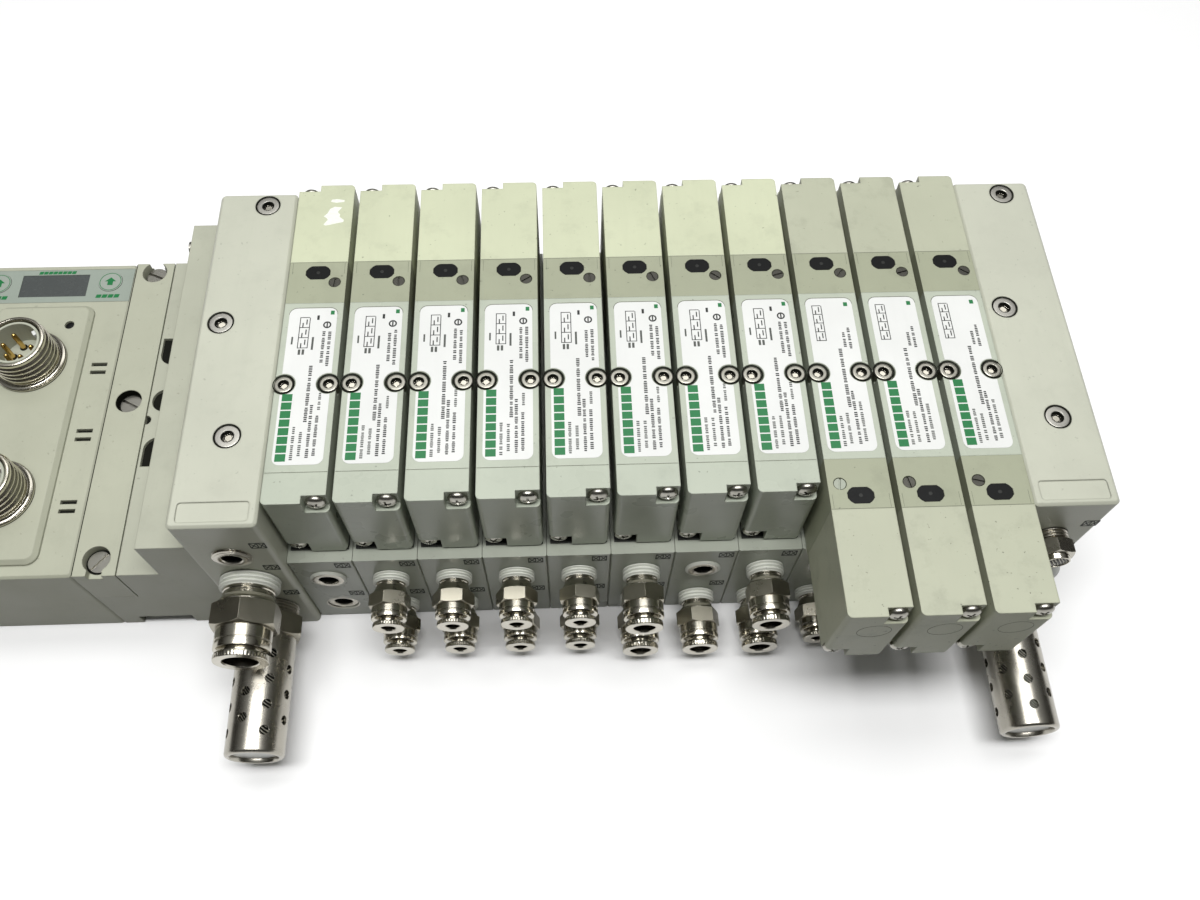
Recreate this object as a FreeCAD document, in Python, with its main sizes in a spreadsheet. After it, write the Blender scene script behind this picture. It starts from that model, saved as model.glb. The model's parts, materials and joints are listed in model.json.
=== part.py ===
# Pneumatic valve island: eleven valves on a manifold between two end plates,
# with an electronics module beside the left end plate.
# Frame: X runs along the island with 0 at the middle of the valve bank, Y runs to the
# rear with 0 on the line of the valve screws, Z is up with 0 on the base.

import FreeCAD, Part

import math
import os
from types import SimpleNamespace

import Sketcher
from FreeCAD import Placement, Rotation, Vector

os.makedirs("parts", exist_ok=True)

X_AXIS = Vector(1, 0, 0)
Y_AXIS = Vector(0, 1, 0)
Z_AXIS = Vector(0, 0, 1)

# Driving dimensions in millimetres, unless the note says otherwise
SIZES = [
    ("station_pitch", 19.0, "distance between neighbouring stations"),
    ("block_seam", 0.12, "joint between neighbouring manifold blocks"),
    ("block_front", 40.5, "valve screw line to the front of the manifold"),
    ("block_rear", 71.5, "valve screw line to the rear of the manifold"),
    ("block_height", 46.3, "height of a manifold block"),
    ("block_chamfer", 0.3, "chamfer on the front corners of a block"),
    ("port_upper", 33.5, "height of the upper port's axis"),
    ("port_lower", 11.0, "height of the lower port's axis"),
    ("port_depth", 8.0, "depth of a station port"),
    ("thread_fit", 0.1, "radial clearance of a screwed-in thread"),
    ("gasket_thickness", 0.9, "thickness of the base gasket"),
    ("gasket_inset", 0.6, "gasket edge behind the face of the valve"),
    ("valve_width", 17.2, "width of a valve"),
    ("valve_height", 32.6, "height of a valve above its gasket"),
    ("body_half", 27.9, "half the length of a valve body"),
    ("pilot_length", 15.0, "length of a pilot body"),
    ("coil_length", 30.3, "length of a coil cover"),
    ("end_cover_length", 9.4, "length of a short front end cover"),
    ("cover_gap", 0.5, "air between a cover and the manifold below it"),
    ("cover_round", 1.4, "rounding of a cover's upright end edges"),
    ("cover_cut", 1.2, "chamfer on a cover's lower edges"),
    ("valve_screw_offset", 6.25, "valve screw to the middle of its valve"),
    ("valve_screw_head", 2.75, "radius of a valve screw's head"),
    ("valve_screw_head_height", 3.0, "height of a valve screw's head"),
    ("valve_screw_key", 2.5, "width across flats of the valve screw's socket"),
    ("valve_screw_room", 0.55, "room around a valve screw's head"),
    ("notch_width", 6.6, "width of a cover's screw notch"),
    ("notch_height", 5.8, "height of a cover's screw notch"),
    ("notch_depth", 2.4, "depth of a cover's screw notch"),
    ("window_length", 7.2, "length of the indicator window"),
    ("window_width", 4.8, "width of the indicator window"),
    ("window_corner", 1.6, "cut corner of the indicator window"),
    ("window_height", 1.3, "thickness of the indicator window"),
    ("window_offset", 11.1, "window centre to the valve body"),
    ("window_fit", 0.06, "clearance round the indicator window"),
    ("window_recess", 0.2, "window face below the top of the pilot body"),
    ("override_radius", 1.75, "radius of the manual override"),
    ("override_fit", 0.08, "radial clearance of the manual override"),
    ("override_length", 4.0, "length of the manual override"),
    ("override_recess", 0.15, "override's face below the top of the pilot body"),
    ("override_travel", 0.8, "stroke of the manual override"),
    ("override_stop", 0.45, "room left under the override at full stroke"),
    ("override_side", 5.2, "override to the middle of the valve"),
    ("override_offset", 7.5, "override to the valve body"),
    ("plate_width", 24.0, "width of an end plate"),
    ("plate_front", 42.6, "valve screw line to the front of an end plate"),
    ("plate_rear", 71.9, "valve screw line to the rear of an end plate"),
    ("plate_height", 78.0, "height of an end plate"),
    ("plate_corner", 1.6, "rounding of an end plate's upright edges"),
    ("plate_edge", 0.8, "chamfer on an end plate's top edge"),
    ("plate_port_middle", 39.0, "height of the middle port in an end plate"),
    ("plate_port_rise", 18.8, "top port above the middle one"),
    ("plate_port_drop", 23.5, "low port below the middle one"),
    ("plate_port_depth", 12.0, "depth of an end plate's ports"),
    ("plate_screw_head", 3.5, "radius of an end plate screw's head"),
    ("plate_screw_head_height", 4.0, "height of an end plate screw's head"),
    ("plate_screw_key", 3.0, "width across flats of the end plate screw's socket"),
    ("plate_screw_room", 0.4, "room around an end plate screw's head"),
    ("plate_screw_recess", 0.15, "screw head below the top of the end plate"),
    ("rear_screw_side", 15.0, "rear screw from the plate's left face"),
    ("rear_screw_line", 67.0, "rear screw behind the valve screw line"),
    ("middle_screw_side", 6.2, "middle screw from the plate's left face"),
    ("middle_screw_line", 22.9, "middle screw behind the valve screw line"),
    ("front_screw_side", 13.0, "front screw from the plate's left face"),
    ("front_screw_line", 15.2, "front screw before the valve screw line"),
    ("nameplate_margin", 2.4, "bare nameplate recess to the plate's side faces"),
    ("nameplate_front", 1.6, "bare nameplate recess to the plate's front face"),
    ("nameplate_depth", 5.8, "size of the nameplate recess front to rear"),
    ("nameplate_recess", 0.4, "depth of the nameplate recess"),
    ("nameplate_corner", 1.0, "corner radius of the nameplate recess"),
    ("port_thread", 4.85, "radius of the station port's thread"),
    ("port_thread_length", 6.0, "length of the station thread inside the port"),
    ("plug_socket", 5.0, "width across flats of a port plug's socket"),
    ("plug_socket_depth", 3.5, "depth of a port plug's socket"),
    ("plug_recess", 0.3, "port plug's face behind the block's face"),
    ("plate_plug_proud", 1.2, "end plate plug before the plate's face"),
    ("supply_thread", 8.3, "radius of the supply and exhaust threads"),
    ("supply_thread_length", 9.0, "length of these threads inside the port"),
    ("collar_travel", 0.7, "stroke of a release collar"),
    ("collar_fit", 0.08, "radial clearance of a release collar's sleeve"),
    ("collar_wall", 0.9, "wall of a release collar's sleeve"),
    ("small_bore", 2.1, "tube bore radius of a small fitting's collar"),
    ("small_ring", 4.7, "ring radius of a small fitting's collar"),
    ("small_hex_start", 6.3, "small fitting: start of the hexagon"),
    ("small_hex_end", 10.4, "small fitting: end of the hexagon"),
    ("small_hex", 11.0, "small fitting: width across flats"),
    ("small_nose", 5.3, "small fitting: radius of the nose"),
    ("small_nose_end", 14.1, "small fitting: end of the nose"),
    ("small_ring_back", 15.1, "small fitting: back of the collar ring"),
    ("small_length", 16.6, "small fitting: face of the collar ring"),
    ("large_bore", 3.25, "tube bore radius of a large fitting's collar"),
    ("large_ring", 5.65, "ring radius of a large fitting's collar"),
    ("large_hex_start", 6.6, "large fitting: start of the hexagon"),
    ("large_hex_end", 11.4, "large fitting: end of the hexagon"),
    ("large_hex", 12.0, "large fitting: width across flats"),
    ("large_nose", 6.1, "large fitting: radius of the nose"),
    ("large_nose_end", 16.0, "large fitting: end of the nose"),
    ("large_ring_back", 17.0, "large fitting: back of the collar ring"),
    ("large_length", 19.0, "large fitting: face of the collar ring"),
    ("supply_bore", 5.0, "tube bore radius of the supply fitting's collar"),
    ("supply_ring", 7.85, "ring radius of the supply fitting's collar"),
    ("supply_hex_start", 8.5, "supply fitting: start of the hexagon"),
    ("supply_hex_end", 15.7, "supply fitting: end of the hexagon"),
    ("supply_hex", 18.0, "supply fitting: width across flats"),
    ("supply_nose", 8.15, "supply fitting: radius of the nose"),
    ("supply_nose_end", 22.1, "supply fitting: end of the nose"),
    ("supply_ring_back", 23.1, "supply fitting: back of the collar ring"),
    ("supply_length", 25.1, "supply fitting: face of the collar ring"),
    ("sleeve_back", 6.0, "length of a collar's sleeve behind its ring"),
    ("silencer_neck_end", 4.0, "silencer: thread outside the port"),
    ("silencer_hex_end", 10.6, "silencer: end of the hexagon"),
    ("silencer_hex", 19.0, "silencer: width across flats"),
    ("silencer_radius", 8.7, "radius of the silencer's sleeve"),
    ("silencer_wall", 0.8, "wall of the silencer's sleeve"),
    ("silencer_length", 47.1, "silencer: face of the sleeve"),
    ("silencer_roll", 1.0, "chamfer at the sleeve's end"),
    ("silencer_dish", 6.8, "radius of the recess in the sleeve's end"),
    ("silencer_dish_depth", 0.8, "depth of the recess in the sleeve's end"),
    ("silencer_end_wall", 1.9, "thickness of the sleeve's end"),
    ("element_fit", 0.1, "clearance round the silencer's element"),
    ("breather_thread_out", 3.0, "breather: thread outside the port"),
    ("breather_hex_end", 7.4, "breather: end of the hexagon"),
    ("breather_hex", 10.0, "breather: width across flats"),
    ("breather_cap", 3.9, "radius of the breather's end"),
    ("breather_length", 9.0, "breather: face of the end"),
    ("blank_radius", 9.3, "radius of the middle port's plug head"),
    ("blank_height", 6.8, "height of the middle port's plug head"),
    ("blank_cut", 2.2, "chamfer of the middle port's plug head"),
    ("tall_width", 14.0, "adapter: width of the tall part"),
    ("tall_height", 61.5, "adapter: height of the tall part"),
    ("low_width", 12.5, "adapter: width of the low part"),
    ("strip_width", 13.0, "width of the clamp strip"),
    ("strip_bottom", 24.2, "underside of the clamp strip"),
    ("module_front", 41.2, "valve screw line to the front of the module"),
    ("module_rear", 73.5, "valve screw line to the rear of the module"),
    ("module_height", 42.0, "height of the module, the strip and the adapter's low part"),
    ("module_width", 53.1, "width of the module"),
    ("module_edge", 1.5, "rounding of the module's edges"),
    ("part_seam", 0.1, "joints beside the module and beside the left end plate"),
    ("strip_gap", 0.4, "clamp strip to the adapter"),
    ("channel_left", 6.0, "adapter: channel to the adapter's left face"),
    ("channel_width", 17.0, "adapter: width of the channel below"),
    ("channel_height", 5.5, "adapter: height of the channel below"),
    ("window_row", 18.5, "adapter: middle opening behind the valve screw line"),
    ("window_row_pitch", 18.7, "adapter: distance between the openings"),
    ("slot_opening_length", 10.2, "adapter: length of an outer opening"),
    ("opening_margin", 0.8, "adapter: openings to the low part's left edge"),
    ("opening_width", 8.2, "adapter: width of the openings"),
    ("opening_depth", 20.0, "adapter: depth of the openings"),
    ("opening_round", 4.0, "adapter: rounding of the outer openings' inner ends"),
    ("seam_hole", 1.6, "adapter: radius of the hole beside the clamp strip"),
    ("seam_hole_line", 11.3, "adapter: that hole behind the valve screw line"),
    ("seam_hole_depth", 3.0, "adapter: depth of that hole"),
    ("strip_recess", 4.1, "clamp strip: radius of a screw recess"),
    ("strip_recess_depth", 4.8, "clamp strip: depth of a screw recess"),
    ("strip_screw_rear", 69.8, "clamp strip: rear screw"),
    ("strip_screw_front", 35.8, "clamp strip: front screw before the valve screw line"),
    ("strip_slot", 4.6, "clamp strip: width of the open end of a recess"),
    ("strip_screw", 3.4, "clamp strip: radius of a screw head"),
    ("strip_screw_height", 2.4, "clamp strip: height of a screw head"),
    ("strip_screw_slot", 0.8, "clamp strip: width of a screw's slot"),
    ("strip_screw_slot_depth", 1.0, "clamp strip: depth of a screw's slot"),
    ("side_screw_line", 67.8, "adapter: side screw behind the valve screw line"),
    ("side_screw_height", 56.5, "adapter: height of the side screw"),
    ("side_screw", 2.5, "adapter: radius of the side screw's head"),
    ("side_screw_head", 1.8, "adapter: height of the side screw's head"),
    ("panel_half", 16.0, "half the width of the raised panel"),
    ("panel_front", 37.3, "raised panel's front before the valve screw line"),
    ("panel_rear", 55.6, "raised panel's rear behind the valve screw line"),
    ("panel_rise", 2.0, "height of the raised panel"),
    ("panel_corner", 3.6, "corner radius of the raised panel"),
    ("panel_bevel", 1.3, "bevel round the raised panel"),
    ("overlay_half", 26.1, "half the length of the overlay"),
    ("overlay_front", 58.0, "overlay's front behind the valve screw line"),
    ("overlay_rear", 71.5, "overlay's rear behind the valve screw line"),
    ("overlay_thickness", 0.3, "thickness of the overlay"),
    ("display_half", 11.15, "half the width of the display"),
    ("display_front", 60.4, "display's front behind the valve screw line"),
    ("display_rear", 69.3, "display's rear behind the valve screw line"),
    ("display_glass", 1.2, "thickness of the display's window"),
    ("display_recess", 0.15, "display's window below the overlay"),
    ("display_fit", 0.08, "clearance round the display's window"),
    ("key_radius", 3.9, "radius of a key"),
    ("key_fit", 0.1, "radial clearance of a key"),
    ("key_side", 18.65, "key to the middle of the module"),
    ("key_line", 66.1, "keys behind the valve screw line"),
    ("key_height", 1.0, "thickness of a key"),
    ("key_proud", 0.2, "key above the overlay"),
    ("key_travel", 0.4, "stroke of a key"),
    ("key_stop", 0.4, "room left under a key at full stroke"),
    ("lamp_radius", 1.55, "radius of the lamp's hole"),
    ("lamp_side", 9.4, "lamp to the middle of the module"),
    ("lamp_line", 47.2, "lamp behind the valve screw line"),
    ("lamp_depth", 1.0, "depth of the lamp's hole"),
    ("vent_length", 5.0, "length of a vent slot"),
    ("vent_width", 1.3, "width of a vent slot"),
    ("vent_side", 21.1, "vent slots to the middle of the module"),
    ("vent_gap", 3.0, "distance between the two slots of a pair"),
    ("vent_pitch", 24.8, "distance between the pairs of slots"),
    ("vent_middle", 6.4, "middle pair behind the valve screw line"),
    ("vent_depth", 8.0, "depth of a vent slot"),
    ("connector_rear", 32.8, "rear connector behind the valve screw line"),
    ("connector_front", 14.9, "front connector before the valve screw line"),
    ("connector_flange", 11.4, "radius of a connector's flange"),
    ("connector_flange_height", 1.5, "height of a connector's flange"),
    ("connector_thread", 9.9, "radius of a connector's thread"),
    ("connector_height", 12.3, "height of a connector above the panel"),
    ("connector_wall", 1.7, "wall of a connector's shell"),
    ("insert_height", 2.6, "height of a connector's insert above the panel"),
    ("insert_fit", 0.05, "clearance round a connector's insert"),
    ("pin_radius", 0.75, "radius of a contact pin"),
    ("pin_circle", 4.4, "radius of the circle of pins"),
    ("pin_height", 7.6, "height of a pin above the insert"),
]
STATIONS = 11
SINGLE_VALVES = 8
PIN_PLACES = 6

doc = FreeCAD.newDocument("valve_island")
sheet = doc.addObject("Spreadsheet::Sheet", "sizes")


class Size:
    """A length that knows its number and its expression on the sheet."""

    def __init__(self, number, text):
        self.number = number
        self.text = text

    def __float__(self):
        return float(self.number)

    def __neg__(self):
        return Size(-self.number, f"(0 - {self.text})")

    def __add__(self, other):
        return Size(self.number + float(other), f"({self.text} + {text_of(other)})")

    def __radd__(self, other):
        return self + other

    def __sub__(self, other):
        return Size(self.number - float(other), f"({self.text} - {text_of(other)})")

    def __rsub__(self, other):
        return -self + other

    def __mul__(self, factor):
        return Size(self.number * float(factor), f"({self.text} * {text_of(factor)})")

    def __rmul__(self, factor):
        return self * factor

    def __truediv__(self, divisor):
        return Size(self.number / float(divisor), f"({self.text} / {text_of(divisor)})")


def text_of(value):
    return value.text if isinstance(value, Size) else f"({value!r})"


def fill_sheet():
    """Write the driving dimensions to the sheet and return them by name."""
    named = {}
    for row, (alias, number, note) in enumerate(SIZES, 1):
        sheet.set(f"A{row}", note)
        sheet.set(f"B{row}", str(number))
        sheet.setAlias(f"B{row}", alias)
        named[alias] = Size(number, f"sizes.{alias}")
    doc.recompute()
    return SimpleNamespace(**named)


s = fill_sheet()

# Places worked out from the driving dimensions
bank_half = s.station_pitch * (STATIONS / 2)
valve_base = s.block_height + s.gasket_thickness
valve_top = valve_base + s.valve_height
valve_half = s.valve_width / 2
pilot_end = s.body_half + s.pilot_length
coil_end = pilot_end + s.coil_length
cover_end = s.body_half + s.end_cover_length
left_plate_x = -bank_half - s.plate_width
right_plate_x = bank_half
adapter_right = left_plate_x - s.part_seam
tall_left = adapter_right - s.tall_width
low_left = tall_left - s.low_width
strip_right = low_left - s.strip_gap
strip_left = low_left - s.strip_width
module_right = strip_left - s.part_seam
module_middle = module_right - s.module_width / 2
module_left = module_right - s.module_width
panel_top = s.module_height + s.panel_rise
plate_port_top = s.plate_port_middle + s.plate_port_rise
plate_port_low = s.plate_port_middle - s.plate_port_drop


def station_x(number):
    return s.station_pitch * (number - (STATIONS + 1) / 2)


# Helpers for sketches and features

ORIGIN = (-1, 1)
node_objects = []


def node(thing, label):
    """Name a finished sub-part, which is then written as its own file."""
    thing.Label = label
    node_objects.append(thing)
    return thing


def bind(thing, path, size):
    thing.setExpression(path, text_of(size))


def place(thing, x=0, y=0, z=0, axis=Z_AXIS, turn=0):
    thing.Placement = Placement(Vector(float(x), float(y), float(z)), Rotation(axis, turn))
    for name, size in (("x", x), ("y", y), ("z", z)):
        if isinstance(size, Size):
            bind(thing, f"Placement.Base.{name}", size)


def new_body(name):
    return doc.addObject("PartDesign::Body", name)


def sketch_on(body, role, name, height=0):
    """A sketch on one of the body's own origin planes, moved along its normal."""
    sketch = body.newObject("Sketcher::SketchObject", name)
    plane = next(part for part in body.Origin.OriginFeatures if part.Role == role)
    sketch.AttachmentSupport = [(plane, "")]
    sketch.MapMode = "FlatFace"
    if isinstance(height, Size):
        bind(sketch, "AttachmentOffset.Base.z", height)
    return sketch


def fix(sketch, kind, first, second, size):
    """A dimension between two points of a sketch, bound to the sheet."""
    number = sketch.addConstraint(Sketcher.Constraint(kind, *first, *second, float(size)))
    if isinstance(size, Size):
        bind(sketch, f"Constraints[{number}]", size)


def fix_radius(sketch, geometry, radius):
    number = sketch.addConstraint(Sketcher.Constraint("Radius", geometry, float(radius)))
    bind(sketch, f"Constraints[{number}]", radius)


def flat(x, y):
    return Vector(float(x), float(y), 0)


def polygon(sketch, corners):
    """A closed outline of straight lines through the given corners."""
    lines = []
    for start, end in zip(corners, corners[1:] + corners[:1]):
        lines.append(sketch.addGeometry(Part.LineSegment(flat(*start), flat(*end)), False))
    for line, following, corner in zip(lines, lines[1:] + lines[:1], corners):
        sketch.addConstraint(Sketcher.Constraint("Coincident", line, 2, following, 1))
        fix(sketch, "DistanceX", ORIGIN, (line, 1), corner[0])
        fix(sketch, "DistanceY", ORIGIN, (line, 1), corner[1])


def rectangle(sketch, left, right, bottom, top):
    polygon(sketch, [(left, bottom), (right, bottom), (right, top), (left, top)])


def rounded_rectangle(sketch, left, right, bottom, top, radius):
    """Four lines joined by four tangent arcs of one radius."""
    inner_left, inner_right = left + radius, right - radius
    inner_bottom, inner_top = bottom + radius, top - radius
    sides = [
        (flat(inner_left, bottom), flat(inner_right, bottom)),
        (flat(right, inner_bottom), flat(right, inner_top)),
        (flat(inner_right, top), flat(inner_left, top)),
        (flat(left, inner_top), flat(left, inner_bottom)),
    ]
    centres = [
        flat(inner_right, inner_bottom),
        flat(inner_right, inner_top),
        flat(inner_left, inner_top),
        flat(inner_left, inner_bottom),
    ]
    lines = []
    arcs = []
    for number, (side, centre) in enumerate(zip(sides, centres)):
        start = (number - 1) * math.pi / 2
        circle = Part.Circle(centre, Z_AXIS, float(radius))
        lines.append(sketch.addGeometry(Part.LineSegment(*side), False))
        arcs.append(sketch.addGeometry(Part.ArcOfCircle(circle, start, start + math.pi / 2), False))
    for line, arc, following in zip(lines, arcs, lines[1:] + lines[:1]):
        sketch.addConstraint(Sketcher.Constraint("Tangent", line, 2, arc, 1))
        sketch.addConstraint(Sketcher.Constraint("Tangent", arc, 2, following, 1))
    for arc in arcs[1:]:
        sketch.addConstraint(Sketcher.Constraint("Equal", arcs[0], arc))
    for line, direction in zip(lines, ("Horizontal", "Vertical") * 2):
        sketch.addConstraint(Sketcher.Constraint(direction, line))
    fix_radius(sketch, arcs[0], radius)
    fix(sketch, "DistanceY", ORIGIN, (lines[0], 1), bottom)
    fix(sketch, "DistanceX", ORIGIN, (lines[1], 1), right)
    fix(sketch, "DistanceY", ORIGIN, (lines[2], 1), top)
    fix(sketch, "DistanceX", ORIGIN, (lines[3], 1), left)


def circle(sketch, x, y, radius):
    geometry = sketch.addGeometry(Part.Circle(flat(x, y), Z_AXIS, float(radius)), False)
    fix_radius(sketch, geometry, radius)
    fix(sketch, "DistanceX", ORIGIN, (geometry, 3), x)
    fix(sketch, "DistanceY", ORIGIN, (geometry, 3), y)


def hexagon(sketch, x, y, across_flats):
    """A hexagon with two corners on the sketch's vertical."""
    corner = across_flats / math.sqrt(3)
    angles = [math.radians(90 + 60 * number) for number in range(6)]
    polygon(sketch, [
        (x + corner * round(math.cos(angle), 9), y + corner * round(math.sin(angle), 9))
        for angle in angles
    ])


def pad(body, sketch, name, length):
    feature = body.newObject("PartDesign::Pad", name)
    feature.Profile = sketch
    bind(feature, "Length", length)
    return feature


def pocket(body, sketch, name, depth):
    """Cut from the sketch's plane against its normal."""
    feature = body.newObject("PartDesign::Pocket", name)
    feature.Profile = sketch
    bind(feature, "Length", depth)
    return feature


def revolve(body, sketch, name):
    """Turn a profile about the sketch's vertical axis."""
    feature = body.newObject("PartDesign::Revolution", name)
    feature.Profile = sketch
    feature.ReferenceAxis = (sketch, ["V_Axis"])
    feature.Angle = 360
    return feature


def dress(body, kind, name, base, test, size, sizing):
    """Fillet or chamfer the edges of a feature that pass the test."""
    doc.recompute()
    edges = [f"Edge{number}" for number, edge in enumerate(base.Shape.Edges, 1) if test(edge)]
    feature = body.newObject(f"PartDesign::{kind}", name)
    feature.Base = (base, edges)
    bind(feature, sizing, size)
    return feature


def level_edge(height):
    """A test for edges that lie flat at a height."""
    def test(edge):
        box = edge.BoundBox
        return abs(box.ZMin - float(height)) < 1e-4 and abs(box.ZMax - float(height)) < 1e-4
    return test


def copies(label, spots):
    """Separate copies of templates in one sub-part; a spot is a template and its place."""
    links = []
    for number, (template, where) in enumerate(spots, 1):
        link = doc.addObject("App::Link", f"{label}_copy_{number}")
        link.LinkedObject = template
        place(link, **where)
        links.append(link)
    compound = doc.addObject("Part::Compound", label)
    compound.Links = links
    return node(compound, label)


# End plates

def make_end_plate():
    """The casting, with its left face on the YZ plane."""
    body = new_body("end_plate_template")
    outline = sketch_on(body, "XY_Plane", "plate_outline")
    rounded_rectangle(outline, 0, s.plate_width, -s.plate_front, s.plate_rear, s.plate_corner)
    block = pad(body, outline, "plate_block", s.plate_height)
    dress(body, "Chamfer", "plate_soft_edge", block, level_edge(s.plate_height), s.plate_edge,
          "Size")

    recess = sketch_on(body, "XY_Plane", "nameplate_sketch", s.plate_height)
    front = s.nameplate_front - s.plate_front
    rounded_rectangle(recess, s.nameplate_margin, s.plate_width - s.nameplate_margin, front,
                      front + s.nameplate_depth, s.nameplate_corner)
    pocket(body, recess, "nameplate_recess", s.nameplate_recess)

    seats = sketch_on(body, "XY_Plane", "screw_seat_sketch", s.plate_height)
    for side, line in plate_screw_places():
        circle(seats, side, line, s.plate_screw_head + s.plate_screw_room)
    pocket(body, seats, "screw_seats", s.plate_screw_head_height + s.plate_screw_recess)

    ports = sketch_on(body, "XZ_Plane", "plate_port_sketch", s.plate_front)
    circle(ports, s.plate_width / 2, plate_port_top, s.port_thread + s.thread_fit)
    for height in (s.plate_port_middle, plate_port_low):
        circle(ports, s.plate_width / 2, height, s.supply_thread + s.thread_fit)
    pocket(body, ports, "plate_ports", s.plate_port_depth)
    return body


def plate_screw_places():
    return [
        (s.rear_screw_side, s.rear_screw_line),
        (s.middle_screw_side, s.middle_screw_line),
        (s.front_screw_side, -s.front_screw_line),
    ]


def make_socket_screw(name, head_radius, head_height, key):
    """A screw head standing on the XY plane, with a hexagon socket."""
    body = new_body(name)
    outline = sketch_on(body, "XY_Plane", f"{name}_outline")
    circle(outline, 0, 0, head_radius)
    pad(body, outline, f"{name}_head", head_height)
    socket = sketch_on(body, "XY_Plane", f"{name}_socket_sketch", head_height)
    hexagon(socket, 0, 0, key)
    pocket(body, socket, f"{name}_socket", head_height / 2)
    return body


def add_end_plates():
    plate = make_end_plate()
    copies("left_end_plate", [(plate, {"x": left_plate_x})])
    copies("right_end_plate", [(plate, {"x": right_plate_x})])
    screw = make_socket_screw("plate_screw", s.plate_screw_head, s.plate_screw_head_height,
                              s.plate_screw_key)
    seat = s.plate_height - s.plate_screw_head_height - s.plate_screw_recess
    copies("end_plate_screws", [
        (screw, {"x": plate_x + side, "y": line, "z": seat})
        for plate_x in (left_plate_x, right_plate_x)
        for side, line in plate_screw_places()
    ])


# Manifold

def make_block():
    """One block, with chamfered front corners that show the joints."""
    body = new_body("manifold_block")
    half = (s.station_pitch - s.block_seam) / 2
    cut = s.block_chamfer
    outline = sketch_on(body, "XY_Plane", "block_outline")
    polygon(outline, [
        (-half, s.block_rear),
        (-half, cut - s.block_front),
        (cut - half, -s.block_front),
        (half - cut, -s.block_front),
        (half, cut - s.block_front),
        (half, s.block_rear),
    ])
    pad(body, outline, "block_solid", s.block_height)
    ports = sketch_on(body, "XZ_Plane", "station_port_sketch", s.block_front)
    for height in (s.port_upper, s.port_lower):
        circle(ports, 0, height, s.port_thread + s.thread_fit)
    pocket(body, ports, "station_ports", s.port_depth)
    return body


def make_gasket():
    body = new_body("gasket")
    outline = sketch_on(body, "XY_Plane", "gasket_outline", s.block_height)
    side = valve_half - s.gasket_inset / 3
    rectangle(outline, -side, side, s.gasket_inset - cover_end, pilot_end - s.gasket_inset)
    pad(body, outline, "gasket_sheet", s.gasket_thickness)
    return body


def add_manifold():
    block = make_block()
    gasket = make_gasket()
    stations = range(1, STATIONS + 1)
    copies("manifold_blocks", [(block, {"x": station_x(number)}) for number in stations])
    copies("valve_gaskets", [(gasket, {"x": station_x(number)}) for number in stations])


# Valves

def make_valve_body():
    body = new_body("valve_body")
    outline = sketch_on(body, "XY_Plane", "valve_body_outline", valve_base)
    rectangle(outline, -valve_half, valve_half, -s.body_half, s.body_half)
    pad(body, outline, "valve_body_block", s.valve_height)
    seats = sketch_on(body, "XY_Plane", "valve_screw_seat_sketch", valve_top)
    for side in (-s.valve_screw_offset, s.valve_screw_offset):
        circle(seats, side, 0, s.valve_screw_head + s.valve_screw_room)
    pocket(body, seats, "valve_screw_seats", s.valve_screw_head_height)
    return body


def window_outline(sketch, clearance):
    """The indicator's long opening with cut corners, ahead of the valve body."""
    half_length = s.window_length / 2 + clearance
    half_width = s.window_width / 2 + clearance
    centre = -s.body_half - s.window_offset
    cut = s.window_corner
    polygon(sketch, [
        (cut - half_length, centre - half_width),
        (half_length - cut, centre - half_width),
        (half_length, centre + cut - half_width),
        (half_length, centre + half_width - cut),
        (half_length - cut, centre + half_width),
        (cut - half_length, centre + half_width),
        (-half_length, centre + half_width - cut),
        (-half_length, centre + cut - half_width),
    ])


def make_pilot_body():
    """A front pilot; a rear one is the same piece turned half a turn."""
    body = new_body("pilot_body")
    outline = sketch_on(body, "XY_Plane", "pilot_outline", valve_base)
    rectangle(outline, -valve_half, valve_half, -pilot_end, -s.body_half)
    pad(body, outline, "pilot_block", s.valve_height)
    opening = sketch_on(body, "XY_Plane", "window_seat_sketch", valve_top)
    window_outline(opening, s.window_fit)
    pocket(body, opening, "window_seat", s.window_recess + s.window_height)
    hole = sketch_on(body, "XY_Plane", "override_hole_sketch", valve_top)
    circle(hole, -s.override_side, -s.body_half - s.override_offset,
           s.override_radius + s.override_fit)
    pocket(body, hole, "override_hole",
           s.override_recess + s.override_length + s.override_travel + s.override_stop)
    return body


def make_window():
    body = new_body("indicator_window")
    outline = sketch_on(body, "XY_Plane", "window_sketch",
                        valve_top - s.window_recess - s.window_height)
    window_outline(outline, 0)
    pad(body, outline, "window_lens", s.window_height)
    return body


def make_override(label, x, y):
    """A round button, sunk a little below the top of its pilot body."""
    body = new_body(label)
    outline = sketch_on(body, "XY_Plane", f"{label}_outline")
    circle(outline, 0, 0, s.override_radius)
    pad(body, outline, f"{label}_button", s.override_length)
    place(body, x, y, valve_top - s.override_recess - s.override_length)
    return node(body, label)


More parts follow.
